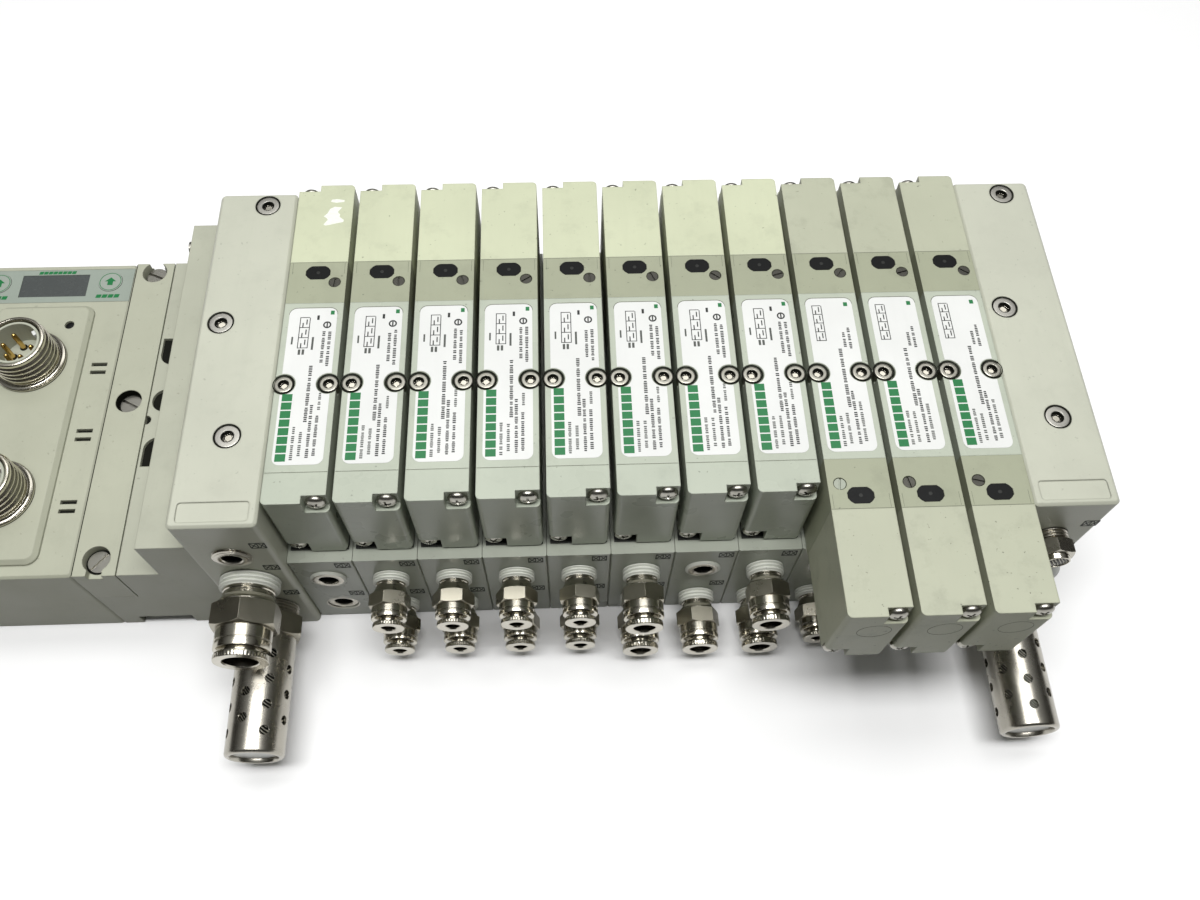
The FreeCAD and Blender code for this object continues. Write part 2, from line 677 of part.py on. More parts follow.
def make_cover(name, start, length, base):
    """A moulded cover from start towards the front, with a screw notch top right and low left."""
    body = new_body(name)
    end = start + length
    outline = sketch_on(body, "XZ_Plane", f"{name}_outline", start)
    polygon(outline, [
        (-valve_half, valve_top),
        (-valve_half, base + s.cover_cut),
        (s.cover_cut - valve_half, base),
        (valve_half - s.cover_cut, base),
        (valve_half, base + s.cover_cut),
        (valve_half, valve_top),
    ])
    block = pad(body, outline, f"{name}_block", length)

    def upright_end_edge(edge):
        box = edge.BoundBox
        return (abs(box.YMin + float(end)) < 1e-4 and abs(box.YMax + float(end)) < 1e-4
                and box.XLength < 1e-4 and box.ZLength > float(s.valve_height) / 2)

    dress(body, "Fillet", f"{name}_round", block, upright_end_edge, s.cover_round, "Radius")
    notches = sketch_on(body, "XZ_Plane", f"{name}_notch_sketch", end)
    reach = valve_half + s.notch_depth
    rectangle(notches, valve_half - s.notch_width, reach, valve_top - s.notch_height,
              valve_top + s.notch_depth)
    rectangle(notches, -reach, s.notch_width - valve_half, base - s.notch_depth,
              base + s.notch_height)
    pocket(body, notches, f"{name}_notches", s.notch_depth)
    return body


def add_valves():
    stations = range(1, STATIONS + 1)
    doubles = range(SINGLE_VALVES + 1, STATIONS + 1)
    valve = make_valve_body()
    pilot = make_pilot_body()
    window = make_window()
    coil = make_cover("coil_cover", pilot_end, s.coil_length, s.block_height + s.cover_gap)
    end_cover = make_cover("end_cover", s.body_half, s.end_cover_length, valve_base)
    screw = make_socket_screw("valve_screw", s.valve_screw_head, s.valve_screw_head_height,
                              s.valve_screw_key)
    rear = [{"x": station_x(number), "turn": 180} for number in stations]
    front = [{"x": station_x(number)} for number in doubles]

    copies("valve_bodies", [(valve, {"x": station_x(number)}) for number in stations])
    copies("pilot_bodies", [(pilot, where) for where in rear + front])
    copies("indicator_windows", [(window, where) for where in rear + front])
    copies("cream_coil_covers", [(coil, where) for where in rear[:SINGLE_VALVES]])
    copies("grey_coil_covers", [(coil, where) for where in rear[SINGLE_VALVES:] + front])
    copies("front_end_covers", [
        (end_cover, {"x": station_x(number)}) for number in range(1, SINGLE_VALVES + 1)
    ])
    seat = valve_top - s.valve_screw_head_height
    copies("valve_screws", [
        (screw, {"x": station_x(number) + side, "z": seat})
        for number in stations
        for side in (-s.valve_screw_offset, s.valve_screw_offset)
    ])
    line = s.body_half + s.override_offset
    for number in stations:
        make_override(f"rear_override_{number:02d}", station_x(number) + s.override_side, line)
    for number in doubles:
        make_override(f"front_override_{number:02d}", station_x(number) - s.override_side, -line)


# Fittings, drawn with the port's face on the XZ plane and pointing forward

def fitting_sizes(kind):
    """The sizes of one kind of fitting by their short names."""
    names = ("bore", "ring", "hex_start", "hex_end", "hex", "nose", "nose_end", "ring_back",
             "length")
    return SimpleNamespace(**{name: getattr(s, f"{kind}_{name}") for name in names})


def make_fitting_body(kind, thread, thread_inside):
    """Thread, hexagon and nose, with the bore that the collar's sleeve slides in."""
    d = fitting_sizes(kind)
    body = new_body(f"{kind}_fitting_piece")
    nut = sketch_on(body, "XZ_Plane", f"{kind}_nut_sketch", d.hex_start)
    hexagon(nut, 0, 0, d.hex)
    pad(body, nut, f"{kind}_nut", d.hex_end - d.hex_start)
    shank = sketch_on(body, "XZ_Plane", f"{kind}_thread_sketch", -thread_inside)
    circle(shank, 0, 0, thread)
    pad(body, shank, f"{kind}_thread", thread_inside + d.hex_start)
    nose = sketch_on(body, "XZ_Plane", f"{kind}_nose_sketch", d.hex_end)
    circle(nose, 0, 0, d.nose)
    pad(body, nose, f"{kind}_nose", d.nose_end - d.hex_end)
    bore = sketch_on(body, "XZ_Plane", f"{kind}_bore_sketch", d.nose_end)
    circle(bore, 0, 0, d.bore + s.collar_wall + s.collar_fit)
    gap = d.ring_back - d.nose_end
    pocket(body, bore, f"{kind}_bore", s.sleeve_back - gap + s.collar_travel + s.collar_wall / 2)
    return body


def make_collar(label, kind, x, y, z):
    """The release collar: a ring on a sleeve, bored for the tube."""
    d = fitting_sizes(kind)
    body = new_body(label)
    profile = sketch_on(body, "XY_Plane", f"{label}_profile")
    sleeve = d.bore + s.collar_wall
    back = s.sleeve_back - d.ring_back
    polygon(profile, [
        (d.bore, -d.length),
        (d.ring, -d.length),
        (d.ring, -d.ring_back),
        (sleeve, -d.ring_back),
        (sleeve, back),
        (d.bore, back),
    ])
    revolve(body, profile, f"{label}_turned")
    place(body, x, y, z)
    return node(body, label)


def make_plug():
    """A hexagon-socket port plug with its face on the XZ plane."""
    body = new_body("port_plug")
    outline = sketch_on(body, "XZ_Plane", "plug_outline", -s.port_thread_length)
    circle(outline, 0, 0, s.port_thread)
    pad(body, outline, "plug_solid", s.port_thread_length)
    socket = sketch_on(body, "XZ_Plane", "plug_socket_sketch")
    hexagon(socket, 0, 0, s.plug_socket)
    pocket(body, socket, "plug_socket", s.plug_socket_depth)
    return body


# Stations that have a fitting in the upper or lower port, by the fitting's kind
FITTED = {
    "small": {"upper": (2, 3, 4, 5), "lower": (2, 3, 4, 5, 9)},
    "large": {"upper": (6, 8), "lower": (6, 7, 8)},
}


def fitted_ports():
    """Kind, station and port of every fitting."""
    return [
        (kind, number, port)
        for kind, ports in FITTED.items()
        for port, numbers in ports.items()
        for number in numbers
    ]


def port_height(port):
    return s.port_upper if port == "upper" else s.port_lower


def tightened(number, port):
    """The chance angle in degrees at which a fitting's hexagon came to rest."""
    return (number * 23 if port == "upper" else number * 37) % 60


def add_fittings():
    bodies = {
        kind: make_fitting_body(kind, s.port_thread, s.port_thread_length)
        for kind in ("small", "large")
    }
    copies("station_fitting_bodies", [
        (bodies[kind], {"x": station_x(number), "y": -s.block_front, "z": port_height(port),
                        "axis": Y_AXIS, "turn": tightened(number, port)})
        for kind, number, port in fitted_ports()
    ])
    for kind, number, port in fitted_ports():
        make_collar(f"collar_{number:02d}_{port}", kind, station_x(number), -s.block_front,
                    port_height(port))

    plug = make_plug()
    fitted = {(number, port) for kind, number, port in fitted_ports()}
    plugs = [
        (plug, {"x": station_x(number), "y": s.plug_recess - s.block_front,
                "z": port_height(port)})
        for number in range(1, STATIONS + 1)
        for port in ("upper", "lower")
        if (number, port) not in fitted
    ]
    plate_plug = {"x": left_plate_x + s.plate_width / 2,
                  "y": -s.plate_front - s.plate_plug_proud, "z": plate_port_top}
    copies("port_plugs", plugs + [(plug, plate_plug)])

    supply = make_fitting_body("supply", s.supply_thread, s.supply_thread_length)
    supply_place = {"x": left_plate_x + s.plate_width / 2, "y": -s.plate_front,
                    "z": s.plate_port_middle}
    copies("supply_fitting_body", [(supply, supply_place)])
    make_collar("supply_collar", "supply", **supply_place)


# Exhaust silencers, breather and the plug of the right end plate's middle port

def make_silencer_body():
    body = new_body("silencer_body")
    nut = sketch_on(body, "XZ_Plane", "silencer_nut_sketch", s.silencer_neck_end)
    hexagon(nut, 0, 0, s.silencer_hex)
    pad(body, nut, "silencer_nut", s.silencer_hex_end - s.silencer_neck_end)
    thread = sketch_on(body, "XZ_Plane", "silencer_thread_sketch", -s.supply_thread_length)
    circle(thread, 0, 0, s.supply_thread)
    pad(body, thread, "silencer_thread", s.supply_thread_length + s.silencer_neck_end)
    return body


def make_silencer_sleeve():
    """The sleeve with its rolled end and the shallow dish in it."""
    body = new_body("silencer_sleeve")
    profile = sketch_on(body, "XY_Plane", "sleeve_profile")
    inner = s.silencer_radius - s.silencer_wall
    polygon(profile, [
        (inner, -s.silencer_hex_end),
        (s.silencer_radius, -s.silencer_hex_end),
        (s.silencer_radius, s.silencer_roll - s.silencer_length),
        (s.silencer_radius - s.silencer_roll, -s.silencer_length),
        (s.silencer_dish, -s.silencer_length),
        (s.silencer_dish, s.silencer_dish_depth - s.silencer_length),
        (0, s.silencer_dish_depth - s.silencer_length),
        (0, s.silencer_end_wall - s.silencer_length),
        (inner, s.silencer_end_wall - s.silencer_length),
    ])
    revolve(body, profile, "sleeve_turned")
    return body


def make_silencer_element():
    body = new_body("silencer_element")
    outline = sketch_on(body, "XZ_Plane", "element_outline", s.silencer_hex_end)
    circle(outline, 0, 0, s.silencer_radius - s.silencer_wall - s.element_fit)
    pad(body, outline, "element_roll",
        s.silencer_length - s.silencer_end_wall - s.silencer_hex_end)
    return body


def make_breather():
    body = new_body("breather_piece")
    nut = sketch_on(body, "XZ_Plane", "breather_nut_sketch", s.breather_thread_out)
    hexagon(nut, 0, 0, s.breather_hex)
    pad(body, nut, "breather_nut", s.breather_hex_end - s.breather_thread_out)
    turned = sketch_on(body, "XY_Plane", "breather_turned_sketch")
    polygon(turned, [
        (0, s.port_thread_length),
        (s.port_thread, s.port_thread_length),
        (s.port_thread, -s.breather_thread_out),
        (s.breather_cap, -s.breather_thread_out),
        (s.breather_cap, -s.breather_length),
        (0, -s.breather_length),
    ])
    revolve(body, turned, "breather_turned")
    return body


def make_blank():
    body = new_body("blank_piece")
    turned = sketch_on(body, "XY_Plane", "blank_sketch")
    polygon(turned, [
        (0, s.supply_thread_length),
        (s.supply_thread, s.supply_thread_length),
        (s.supply_thread, 0),
        (s.blank_radius, 0),
        (s.blank_radius, s.blank_cut - s.blank_height),
        (s.blank_radius - s.blank_cut, -s.blank_height),
        (0, -s.blank_height),
    ])
    revolve(body, turned, "blank_turned")
    return body


def add_plate_fittings():
    middle = s.plate_width / 2
    front = -s.plate_front
    low = [
        {"x": plate_x + middle, "y": front, "z": plate_port_low, "axis": Y_AXIS, "turn": 30}
        for plate_x in (left_plate_x, right_plate_x)
    ]
    body = make_silencer_body()
    sleeve = make_silencer_sleeve()
    element = make_silencer_element()
    copies("silencer_bodies", [(body, where) for where in low])
    copies("silencer_sleeves", [(sleeve, where) for where in low])
    copies("silencer_elements", [(element, where) for where in low])
    right = right_plate_x + middle
    copies("breather", [(make_breather(), {"x": right, "y": front, "z": plate_port_top})])
    copies("supply_blank", [(make_blank(), {"x": right, "y": front, "z": s.plate_port_middle})])


# Adapter and clamp strip between the module and the left end plate

def add_adapter():
    body = new_body("valve_side_adapter")
    outline = sketch_on(body, "XZ_Plane", "adapter_outline", s.module_front)
    polygon(outline, [
        (strip_left, 0),
        (adapter_right, 0),
        (adapter_right, s.tall_height),
        (tall_left, s.tall_height),
        (tall_left, s.module_height),
        (low_left, s.module_height),
        (low_left, s.strip_bottom),
        (strip_left, s.strip_bottom),
    ])
    block = pad(body, outline, "adapter_block", s.module_front + s.module_rear)
    block.Reversed = True

    channel = sketch_on(body, "XZ_Plane", "channel_sketch", s.module_front)
    start = strip_left + s.channel_left
    rectangle(channel, start, start + s.channel_width, -s.channel_height, s.channel_height)
    pocket(body, channel, "adapter_channel", s.module_front + s.module_rear)

    openings = sketch_on(body, "XY_Plane", "opening_sketch", s.module_height)
    left = low_left + s.opening_margin
    circle(openings, left + s.opening_width / 2, s.window_row, s.opening_width / 2)
    for side in (-1, 1):
        middle = s.window_row + side * s.window_row_pitch
        rounded_rectangle(openings, left, left + s.opening_width,
                          middle - s.slot_opening_length / 2,
                          middle + s.slot_opening_length / 2, s.opening_round)
    pocket(body, openings, "adapter_openings", s.opening_depth)

    # The outer openings end square, away from the middle one
    ends = sketch_on(body, "XY_Plane", "opening_end_sketch", s.module_height)
    for side in (-1, 1):
        middle = s.window_row + side * s.window_row_pitch
        end = middle + side * s.slot_opening_length / 2
        low, high = (end, middle) if side < 0 else (middle, end)
        rectangle(ends, left, left + s.opening_width, low, high)
    pocket(body, ends, "opening_ends", s.opening_depth)

    hole = sketch_on(body, "XY_Plane", "seam_hole_sketch", s.module_height)
    circle(hole, low_left, s.seam_hole_line, s.seam_hole)
    pocket(body, hole, "seam_hole", s.seam_hole_depth)
    node(body, "valve_side_adapter")


def strip_screw_lines():
    return [s.strip_screw_rear, s.window_row, -s.strip_screw_front]


def add_clamp_strip():
    body = new_body("clamp_strip")
    outline = sketch_on(body, "XY_Plane", "strip_outline", s.strip_bottom)
    rectangle(outline, strip_left, strip_right, -s.module_front, s.module_rear)
    pad(body, outline, "strip_bar", s.module_height - s.strip_bottom)
    middle = (strip_left + strip_right) / 2
    recesses = sketch_on(body, "XY_Plane", "strip_recess_sketch", s.module_height)
    for line in strip_screw_lines():
        circle(recesses, middle, line, s.strip_recess)
    pocket(body, recesses, "strip_recesses", s.strip_recess_depth)
    slots = sketch_on(body, "XY_Plane", "strip_slot_sketch", s.module_height)
    half = s.strip_slot / 2
    rectangle(slots, middle - half, middle + half, s.strip_screw_rear,
              s.module_rear + s.strip_slot)
    rectangle(slots, middle - half, middle + half, -s.module_front - s.strip_slot,
              -s.strip_screw_front)
    pocket(body, slots, "strip_slots", s.strip_recess_depth - s.strip_screw_height)
    node(body, "clamp_strip")

    screw = new_body("strip_screw_piece")
    head = sketch_on(screw, "XY_Plane", "strip_screw_outline")
    circle(head, 0, 0, s.strip_screw)
    pad(screw, head, "strip_screw_head", s.strip_screw_height)
    slot = sketch_on(screw, "XY_Plane", "strip_screw_slot_sketch", s.strip_screw_height)
    half_slot = s.strip_screw_slot / 2
    rectangle(slot, -2 * s.strip_screw, 2 * s.strip_screw, -half_slot, half_slot)
    pocket(screw, slot, "strip_screw_slot", s.strip_screw_slot_depth)

    side_screw = doc.addObject("Part::Cylinder", "side_screw_piece")
    bind(side_screw, "Radius", s.side_screw)
    bind(side_screw, "Height", s.side_screw_head)
    seat = s.module_height - s.strip_recess_depth
    turns = (-25, -30, 50)
    spots = [
        (screw, {"x": middle, "y": line, "z": seat, "turn": turn})
        for line, turn in zip(strip_screw_lines(), turns)
    ]
    side = {"x": tall_left, "y": s.side_screw_line, "z": s.side_screw_height, "axis": Y_AXIS,
            "turn": -90}
    copies("clamp_screws", spots + [(side_screw, side)])


# Electronics module, drawn with its middle on the YZ plane

def add_module_housing():
    body = new_body("comm_module_housing")
    half = s.module_width / 2
    outline = sketch_on(body, "XY_Plane", "housing_outline")
    rounded_rectangle(outline, -half, half, -s.module_front, s.module_rear, s.module_edge)
    block = pad(body, outline, "housing_block", s.module_height)
    dress(body, "Chamfer", "housing_soft_edge", block, level_edge(s.module_height),
          s.module_edge / 2, "Size")

    panel = sketch_on(body, "XY_Plane", "panel_sketch", s.module_height)
    rounded_rectangle(panel, -s.panel_half, s.panel_half, -s.panel_front, s.panel_rear,
                      s.panel_corner)
    raised = pad(body, panel, "raised_panel", s.panel_rise)
    dress(body, "Chamfer", "panel_bevel", raised, level_edge(panel_top), s.panel_bevel, "Size")

    seat = sketch_on(body, "XY_Plane", "overlay_seat_sketch", s.module_height)
    rectangle(seat, -s.overlay_half - s.display_fit, s.overlay_half + s.display_fit,
              s.overlay_front - s.display_fit, s.overlay_rear + s.display_fit)
    pocket(body, seat, "overlay_seat", s.overlay_thickness)

    glass = sketch_on(body, "XY_Plane", "display_seat_sketch", s.module_height)
    rectangle(glass, -s.display_half - s.display_fit, s.display_half + s.display_fit,
              s.display_front - s.display_fit, s.display_rear + s.display_fit)
    pocket(body, glass, "display_seat", s.display_recess + s.display_glass)

    keys = sketch_on(body, "XY_Plane", "key_seat_sketch", s.module_height)
    for side in (-s.key_side, s.key_side):
        circle(keys, side, s.key_line, s.key_radius + s.key_fit)
    pocket(body, keys, "key_seats", s.key_height - s.key_proud + s.key_travel + s.key_stop)

    lamp = sketch_on(body, "XY_Plane", "lamp_sketch", panel_top)
    circle(lamp, s.lamp_side, s.lamp_line, s.lamp_radius)
    pocket(body, lamp, "lamp_hole", s.lamp_depth)

    vents = sketch_on(body, "XY_Plane", "vent_sketch", s.module_height)
    for pair in (-1, 0, 1):
        for side in (-1, 1):
            line = s.vent_middle + pair * s.vent_pitch + side * s.vent_gap / 2
            rectangle(vents, s.vent_side - s.vent_length / 2, s.vent_side + s.vent_length / 2,
                      line - s.vent_width / 2, line + s.vent_width / 2)
    pocket(body, vents, "vent_slots", s.vent_depth)
    place(body, x=module_middle)
    node(body, "comm_module_housing")


def add_module_overlay():
    body = new_body("comm_overlay")
    sheet_base = s.module_height - s.overlay_thickness
    outline = sketch_on(body, "XY_Plane", "overlay_outline", sheet_base)
    rectangle(outline, -s.overlay_half, s.overlay_half, s.overlay_front, s.overlay_rear)
    rectangle(outline, -s.display_half - s.display_fit, s.display_half + s.display_fit,
              s.display_front - s.display_fit, s.display_rear + s.display_fit)
    for side in (-s.key_side, s.key_side):
        circle(outline, side, s.key_line, s.key_radius + s.key_fit)
    pad(body, outline, "overlay_sheet", s.overlay_thickness)
    place(body, x=module_middle)
    node(body, "comm_overlay")

    window = new_body("display_window")
    glass = sketch_on(window, "XY_Plane", "display_outline",
                      s.module_height - s.display_recess - s.display_glass)
    rectangle(glass, -s.display_half, s.display_half, s.display_front, s.display_rear)
    pad(window, glass, "display_glass", s.display_glass)
    place(window, x=module_middle)
    node(window, "display_window")

    for label, side in (("set_key", -s.key_side), ("next_key", s.key_side)):
        key = new_body(label)
        face = sketch_on(key, "XY_Plane", f"{label}_outline")
        circle(face, 0, 0, s.key_radius)
        pad(key, face, f"{label}_button", s.key_height)
        place(key, module_middle + side, s.key_line,
              s.module_height + s.key_proud - s.key_height)
        node(key, label)


def make_connector_shell():
    """The threaded shell on its flange, drawn from the panel up."""
    body = new_body("connector_shell")
    profile = sketch_on(body, "XZ_Plane", "shell_profile")
    inner = s.connector_thread - s.connector_wall
    polygon(profile, [
        (inner, 0),
        (s.connector_flange, 0),
        (s.connector_flange, s.connector_flange_height),
        (s.connector_thread, s.connector_flange_height),
        (s.connector_thread, s.connector_height),
        (inner, s.connector_height),
    ])
    revolve(body, profile, "shell_turned")
    return body


def make_connector_insert():
    body = new_body("connector_insert")
    outline = sketch_on(body, "XY_Plane", "insert_outline")
    circle(outline, 0, 0, s.connector_thread - s.connector_wall - s.insert_fit)
    pad(body, outline, "insert_disc", s.insert_height)
    return body


def add_connectors():
    shell = make_connector_shell()
    insert = make_connector_insert()
    pin = new_body("connector_pin")
    outline = sketch_on(pin, "XY_Plane", "pin_outline")
    circle(outline, 0, 0, s.pin_radius)
    pad(pin, outline, "pin_rod", s.pin_height)
    lines = (s.connector_rear, -s.connector_front)
    on_panel = [{"x": module_middle, "y": line, "z": panel_top} for line in lines]
    copies("connector_shells", [(shell, where) for where in on_panel])
    copies("connector_inserts", [(insert, where) for where in on_panel])
    first = math.radians(115)
    angles = [first + 2 * math.pi * number / PIN_PLACES for number in range(PIN_PLACES - 1)]
    copies("connector_pins", [
        (pin, {"x": module_middle + s.pin_circle * round(math.cos(angle), 9),
               "y": line + s.pin_circle * round(math.sin(angle), 9),
               "z": panel_top + s.insert_height})
        for line in lines
        for angle in angles
    ])


def check_model():
    """Stop if anything failed to build or a cut removed nothing."""
    for thing in doc.Objects:
        if {"Invalid", "Error"} & set(thing.State):
            raise RuntimeError(f"{thing.Label} failed: {thing.State}")
        if thing.TypeId == "PartDesign::Pocket":
            if thing.Shape.Volume > thing.BaseFeature.Shape.Volume - 1e-6:
                raise RuntimeError(f"{thing.Label} cuts nothing")
    for thing in node_objects:
        if thing.Shape.isNull() or not thing.Shape.isValid():
            raise RuntimeError(f"{thing.Label} has no valid shape")


add_end_plates()
add_manifold()
add_valves()
add_fittings()
add_plate_fittings()
add_adapter()
add_clamp_strip()
add_module_housing()
add_module_overlay()
add_connectors()
doc.recompute()
check_model()
for finished in node_objects:
    finished.Shape.exportStep(os.path.join("parts", f"{finished.Label}.step"))
print(f"{len(node_objects)} sub-parts written")
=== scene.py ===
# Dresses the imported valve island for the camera. Solids whose shape is right keep it and get
# a better material; fittings, silencers, connectors and buttons get finer pieces in their
# place; labels, cover screws, marks and wear are added.

import json
import random
from math import acos, asin, cos, degrees, pi, radians, sin, tan
from types import SimpleNamespace as Sizes

import bmesh
import bpy
from mathutils import Matrix, Vector

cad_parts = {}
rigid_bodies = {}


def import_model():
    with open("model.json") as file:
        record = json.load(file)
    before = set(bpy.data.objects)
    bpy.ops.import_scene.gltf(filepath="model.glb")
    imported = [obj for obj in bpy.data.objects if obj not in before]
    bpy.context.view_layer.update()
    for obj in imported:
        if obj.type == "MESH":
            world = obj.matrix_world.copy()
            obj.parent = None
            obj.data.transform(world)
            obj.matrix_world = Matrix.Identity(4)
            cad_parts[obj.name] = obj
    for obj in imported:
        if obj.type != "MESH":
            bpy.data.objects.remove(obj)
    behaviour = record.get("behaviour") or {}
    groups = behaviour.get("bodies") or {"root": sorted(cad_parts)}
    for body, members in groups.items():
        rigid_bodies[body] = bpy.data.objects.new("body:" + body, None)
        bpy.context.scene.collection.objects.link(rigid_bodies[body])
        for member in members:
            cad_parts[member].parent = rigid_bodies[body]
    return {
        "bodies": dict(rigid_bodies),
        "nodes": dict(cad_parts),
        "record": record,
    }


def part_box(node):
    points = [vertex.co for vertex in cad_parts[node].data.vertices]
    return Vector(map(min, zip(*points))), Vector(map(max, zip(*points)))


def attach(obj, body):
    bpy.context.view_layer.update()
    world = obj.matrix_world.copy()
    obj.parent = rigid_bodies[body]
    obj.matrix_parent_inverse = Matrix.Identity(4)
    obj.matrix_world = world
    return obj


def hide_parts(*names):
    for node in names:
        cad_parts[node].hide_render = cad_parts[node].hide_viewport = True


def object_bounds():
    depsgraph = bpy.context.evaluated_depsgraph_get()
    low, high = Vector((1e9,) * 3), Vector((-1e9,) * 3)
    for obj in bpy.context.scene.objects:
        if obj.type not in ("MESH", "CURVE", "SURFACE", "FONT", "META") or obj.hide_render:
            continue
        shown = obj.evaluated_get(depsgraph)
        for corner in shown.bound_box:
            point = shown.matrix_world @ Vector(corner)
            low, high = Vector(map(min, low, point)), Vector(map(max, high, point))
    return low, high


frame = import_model()
cad_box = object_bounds()

MM = 0.001  # the frame is in metres, and most sizes below are in mm
STATIONS = range(1, 12)
SINGLE_VALVES = 8
UPRIGHT = Matrix.Rotation(radians(-90), 4, "X")
chance = random.Random(11)

# Places read from the frame, in metres
blocks_low, blocks_high = (Vector(corner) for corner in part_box("manifold_blocks"))
pitch = (blocks_high.x - blocks_low.x) / len(STATIONS)
valve_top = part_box("valve_bodies")[1][2]
cover_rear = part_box("cream_coil_covers")[1][1]
coil_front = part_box("grey_coil_covers")[0][1]
end_cover_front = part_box("front_end_covers")[0][1]
plate_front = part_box("left_end_plate")[0][1]
plate_middles = [
    (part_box(node)[0][0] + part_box(node)[1][0]) / 2 for node in ("left_end_plate", "right_end_plate")
]
module_low, module_high = (Vector(corner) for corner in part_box("comm_module_housing"))
module_middle = (module_low.x + module_high.x) / 2
overlay_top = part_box("comm_overlay")[1][2]
mounts = {mount["name"]: mount for mount in frame["record"]["mounts"]}
tubes = {(int(name[5:7]), name[8:]): mount for name, mount in mounts.items()
         if name.startswith("tube_")}


def station_x(number):
    return pitch * (number - (len(STATIONS) + 1) / 2)


# Materials

# Share of each painted or printed colour that is left, because the lamps lift them
LIT = 0.78


def srgb(channels):
    """A colour in linear light, given from 0 to 255 as the lit surface shows it."""
    def linear(value):
        value /= 255
        return value / 12.92 if value <= 0.04045 else ((value + 0.055) / 1.055) ** 2.4
    return tuple(linear(channel) * LIT for channel in channels) + (1.0,)


def shade(colour, factor):
    return tuple(min(1.0, channel * factor) for channel in colour[:3]) + (1.0,)


class Finish:
    """A material built round one Principled shader, with its patterns in object space."""

    def __init__(self, name, roughness, metallic=0.0, coat=0.0):
        self.material = bpy.data.materials.new(name)
        self.material.use_nodes = True
        self.tree = self.material.node_tree
        self.shader = self.tree.nodes["Principled BSDF"]
        self.feed(self.shader, {"Roughness": roughness, "Metallic": metallic,
                                "Coat Weight": coat, "IOR": 1.46})
        self.place = self.node("ShaderNodeTexCoord").outputs["Object"]
        self.surface = None

    def feed(self, node, inputs):
        """Give a node's inputs, by name or number, their values or link sockets to them."""
        for key, value in inputs.items():
            if isinstance(value, bpy.types.NodeSocket):
                self.tree.links.new(value, node.inputs[key])
            else:
                node.inputs[key].default_value = value
        return node

    def node(self, kind, settings=None, **inputs):
        """Add a node; inputs are values or sockets, by name with _ for a space."""
        new = self.tree.nodes.new(kind)
        for key, value in (settings or {}).items():
            setattr(new, key, value)
        return self.feed(new, {key.replace("_", " "): value for key, value in inputs.items()})

    def stretched(self, scale):
        """The object's coordinates, stretched by a factor for each axis."""
        return self.node("ShaderNodeMapping", Vector=self.place, Scale=scale).outputs["Vector"]

    def noise(self, scale, detail=3.0, roughness=0.55, place=None):
        """Noise from 0 to 1; scale is in features per metre."""
        return self.node("ShaderNodeTexNoise", Vector=place or self.place, Scale=scale,
                         Detail=detail, Roughness=roughness).outputs["Fac"]

    def band(self, value, low, high, start=0.0, end=1.0):
        """Map a value's range from low to high onto start to end, and stop there."""
        return self.node("ShaderNodeMapRange", Value=value, From_Min=low, From_Max=high,
                         To_Min=start, To_Max=end).outputs["Result"]

    def mix(self, factor, first, second):
        """A colour between two; the sockets' names repeat, so they go by number."""
        new = self.node("ShaderNodeMix", {"data_type": "RGBA"})
        return self.feed(new, {0: factor, 6: first, 7: second}).outputs[2]

    def colour(self, socket):
        self.feed(self.shader, {"Base Color": socket})

    def rough(self, socket):
        self.feed(self.shader, {"Roughness": socket})

    def soften(self, radius):
        """Catch the light on the edges as if they were rounded by this radius."""
        bevel = self.node("ShaderNodeBevel", {"samples": 4}, Radius=radius)
        self.surface = bevel.outputs["Normal"]

    def bump(self, height, distance):
        under = {"Normal": self.surface} if self.surface else {}
        self.surface = self.node("ShaderNodeBump", Height=height, Distance=distance, Strength=1.0,
                                 **under).outputs["Normal"]

    def done(self):
        if self.surface:
            self.feed(self.shader, {"Normal": self.surface})
        return self.material


def painted(name, channels, roughness, grain, edge, dirt):
    """Painted casting or moulding: grain and soft edges in mm, mottling, dirt in patches."""
    colour = srgb(channels)
    finish = Finish(name, roughness)
    cloud = finish.noise(35.0, 4.0)
    tint = finish.mix(finish.band(cloud, 0.35, 0.7), shade(colour, 0.95), shade(colour, 1.03))
    streak = finish.noise(55.0, 4.0, 0.65, finish.stretched((4.0, 0.4, 1.0)))
    tint = finish.mix(finish.band(streak, 0.5, 0.75, 0.0, 0.5), tint, shade(colour, 0.93))
    smudge = finish.band(finish.noise(90.0, 6.0, 0.7), 0.52, 0.74, 0.0, dirt)
    tint = finish.mix(smudge, tint, shade(colour, 0.72))
    speck = finish.band(finish.noise(700.0, 2.0), 0.7, 0.76, 0.0, dirt * 1.6)
    finish.colour(finish.mix(speck, tint, shade(colour, 0.45)))
    finish.rough(finish.band(cloud, 0.3, 0.7, roughness - 0.05, roughness + 0.08))
    finish.soften(edge * MM)
    finish.bump(finish.noise(2600.0, 2.0), grain * MM)
    return finish.done()


def plated(name, colour, roughness):
    """Nickel-plated or steel surface: fine turning marks and a little tarnish."""
    finish = Finish(name, roughness, metallic=1.0)
    cloud = finish.noise(110.0, 4.0, 0.6)
    tarnish = finish.band(cloud, 0.42, 0.75, 0.0, 0.2)
    finish.colour(finish.mix(tarnish, shade(colour, 1.0), shade(colour, 0.55)))
    finish.rough(finish.band(cloud, 0.3, 0.8, roughness * 0.85, roughness * 1.3))
    finish.soften(0.12 * MM)
    turning = finish.noise(1500.0, 2.0, place=finish.stretched((0.15, 3.0, 0.15)))
    finish.bump(turning, 0.002 * MM)
    return finish.done()


def inked(name, channels, roughness=0.45):
    """Printed ink or film, a little uneven."""
    colour = srgb(channels)
    finish = Finish(name, roughness)
    worn = finish.band(finish.noise(1400.0, 3.0), 0.35, 0.75, 0.0, 0.35)
    finish.colour(finish.mix(worn, colour, shade(colour, 1.35)))
    finish.bump(finish.noise(3000.0, 2.0), 0.003 * MM)
    return finish.done()


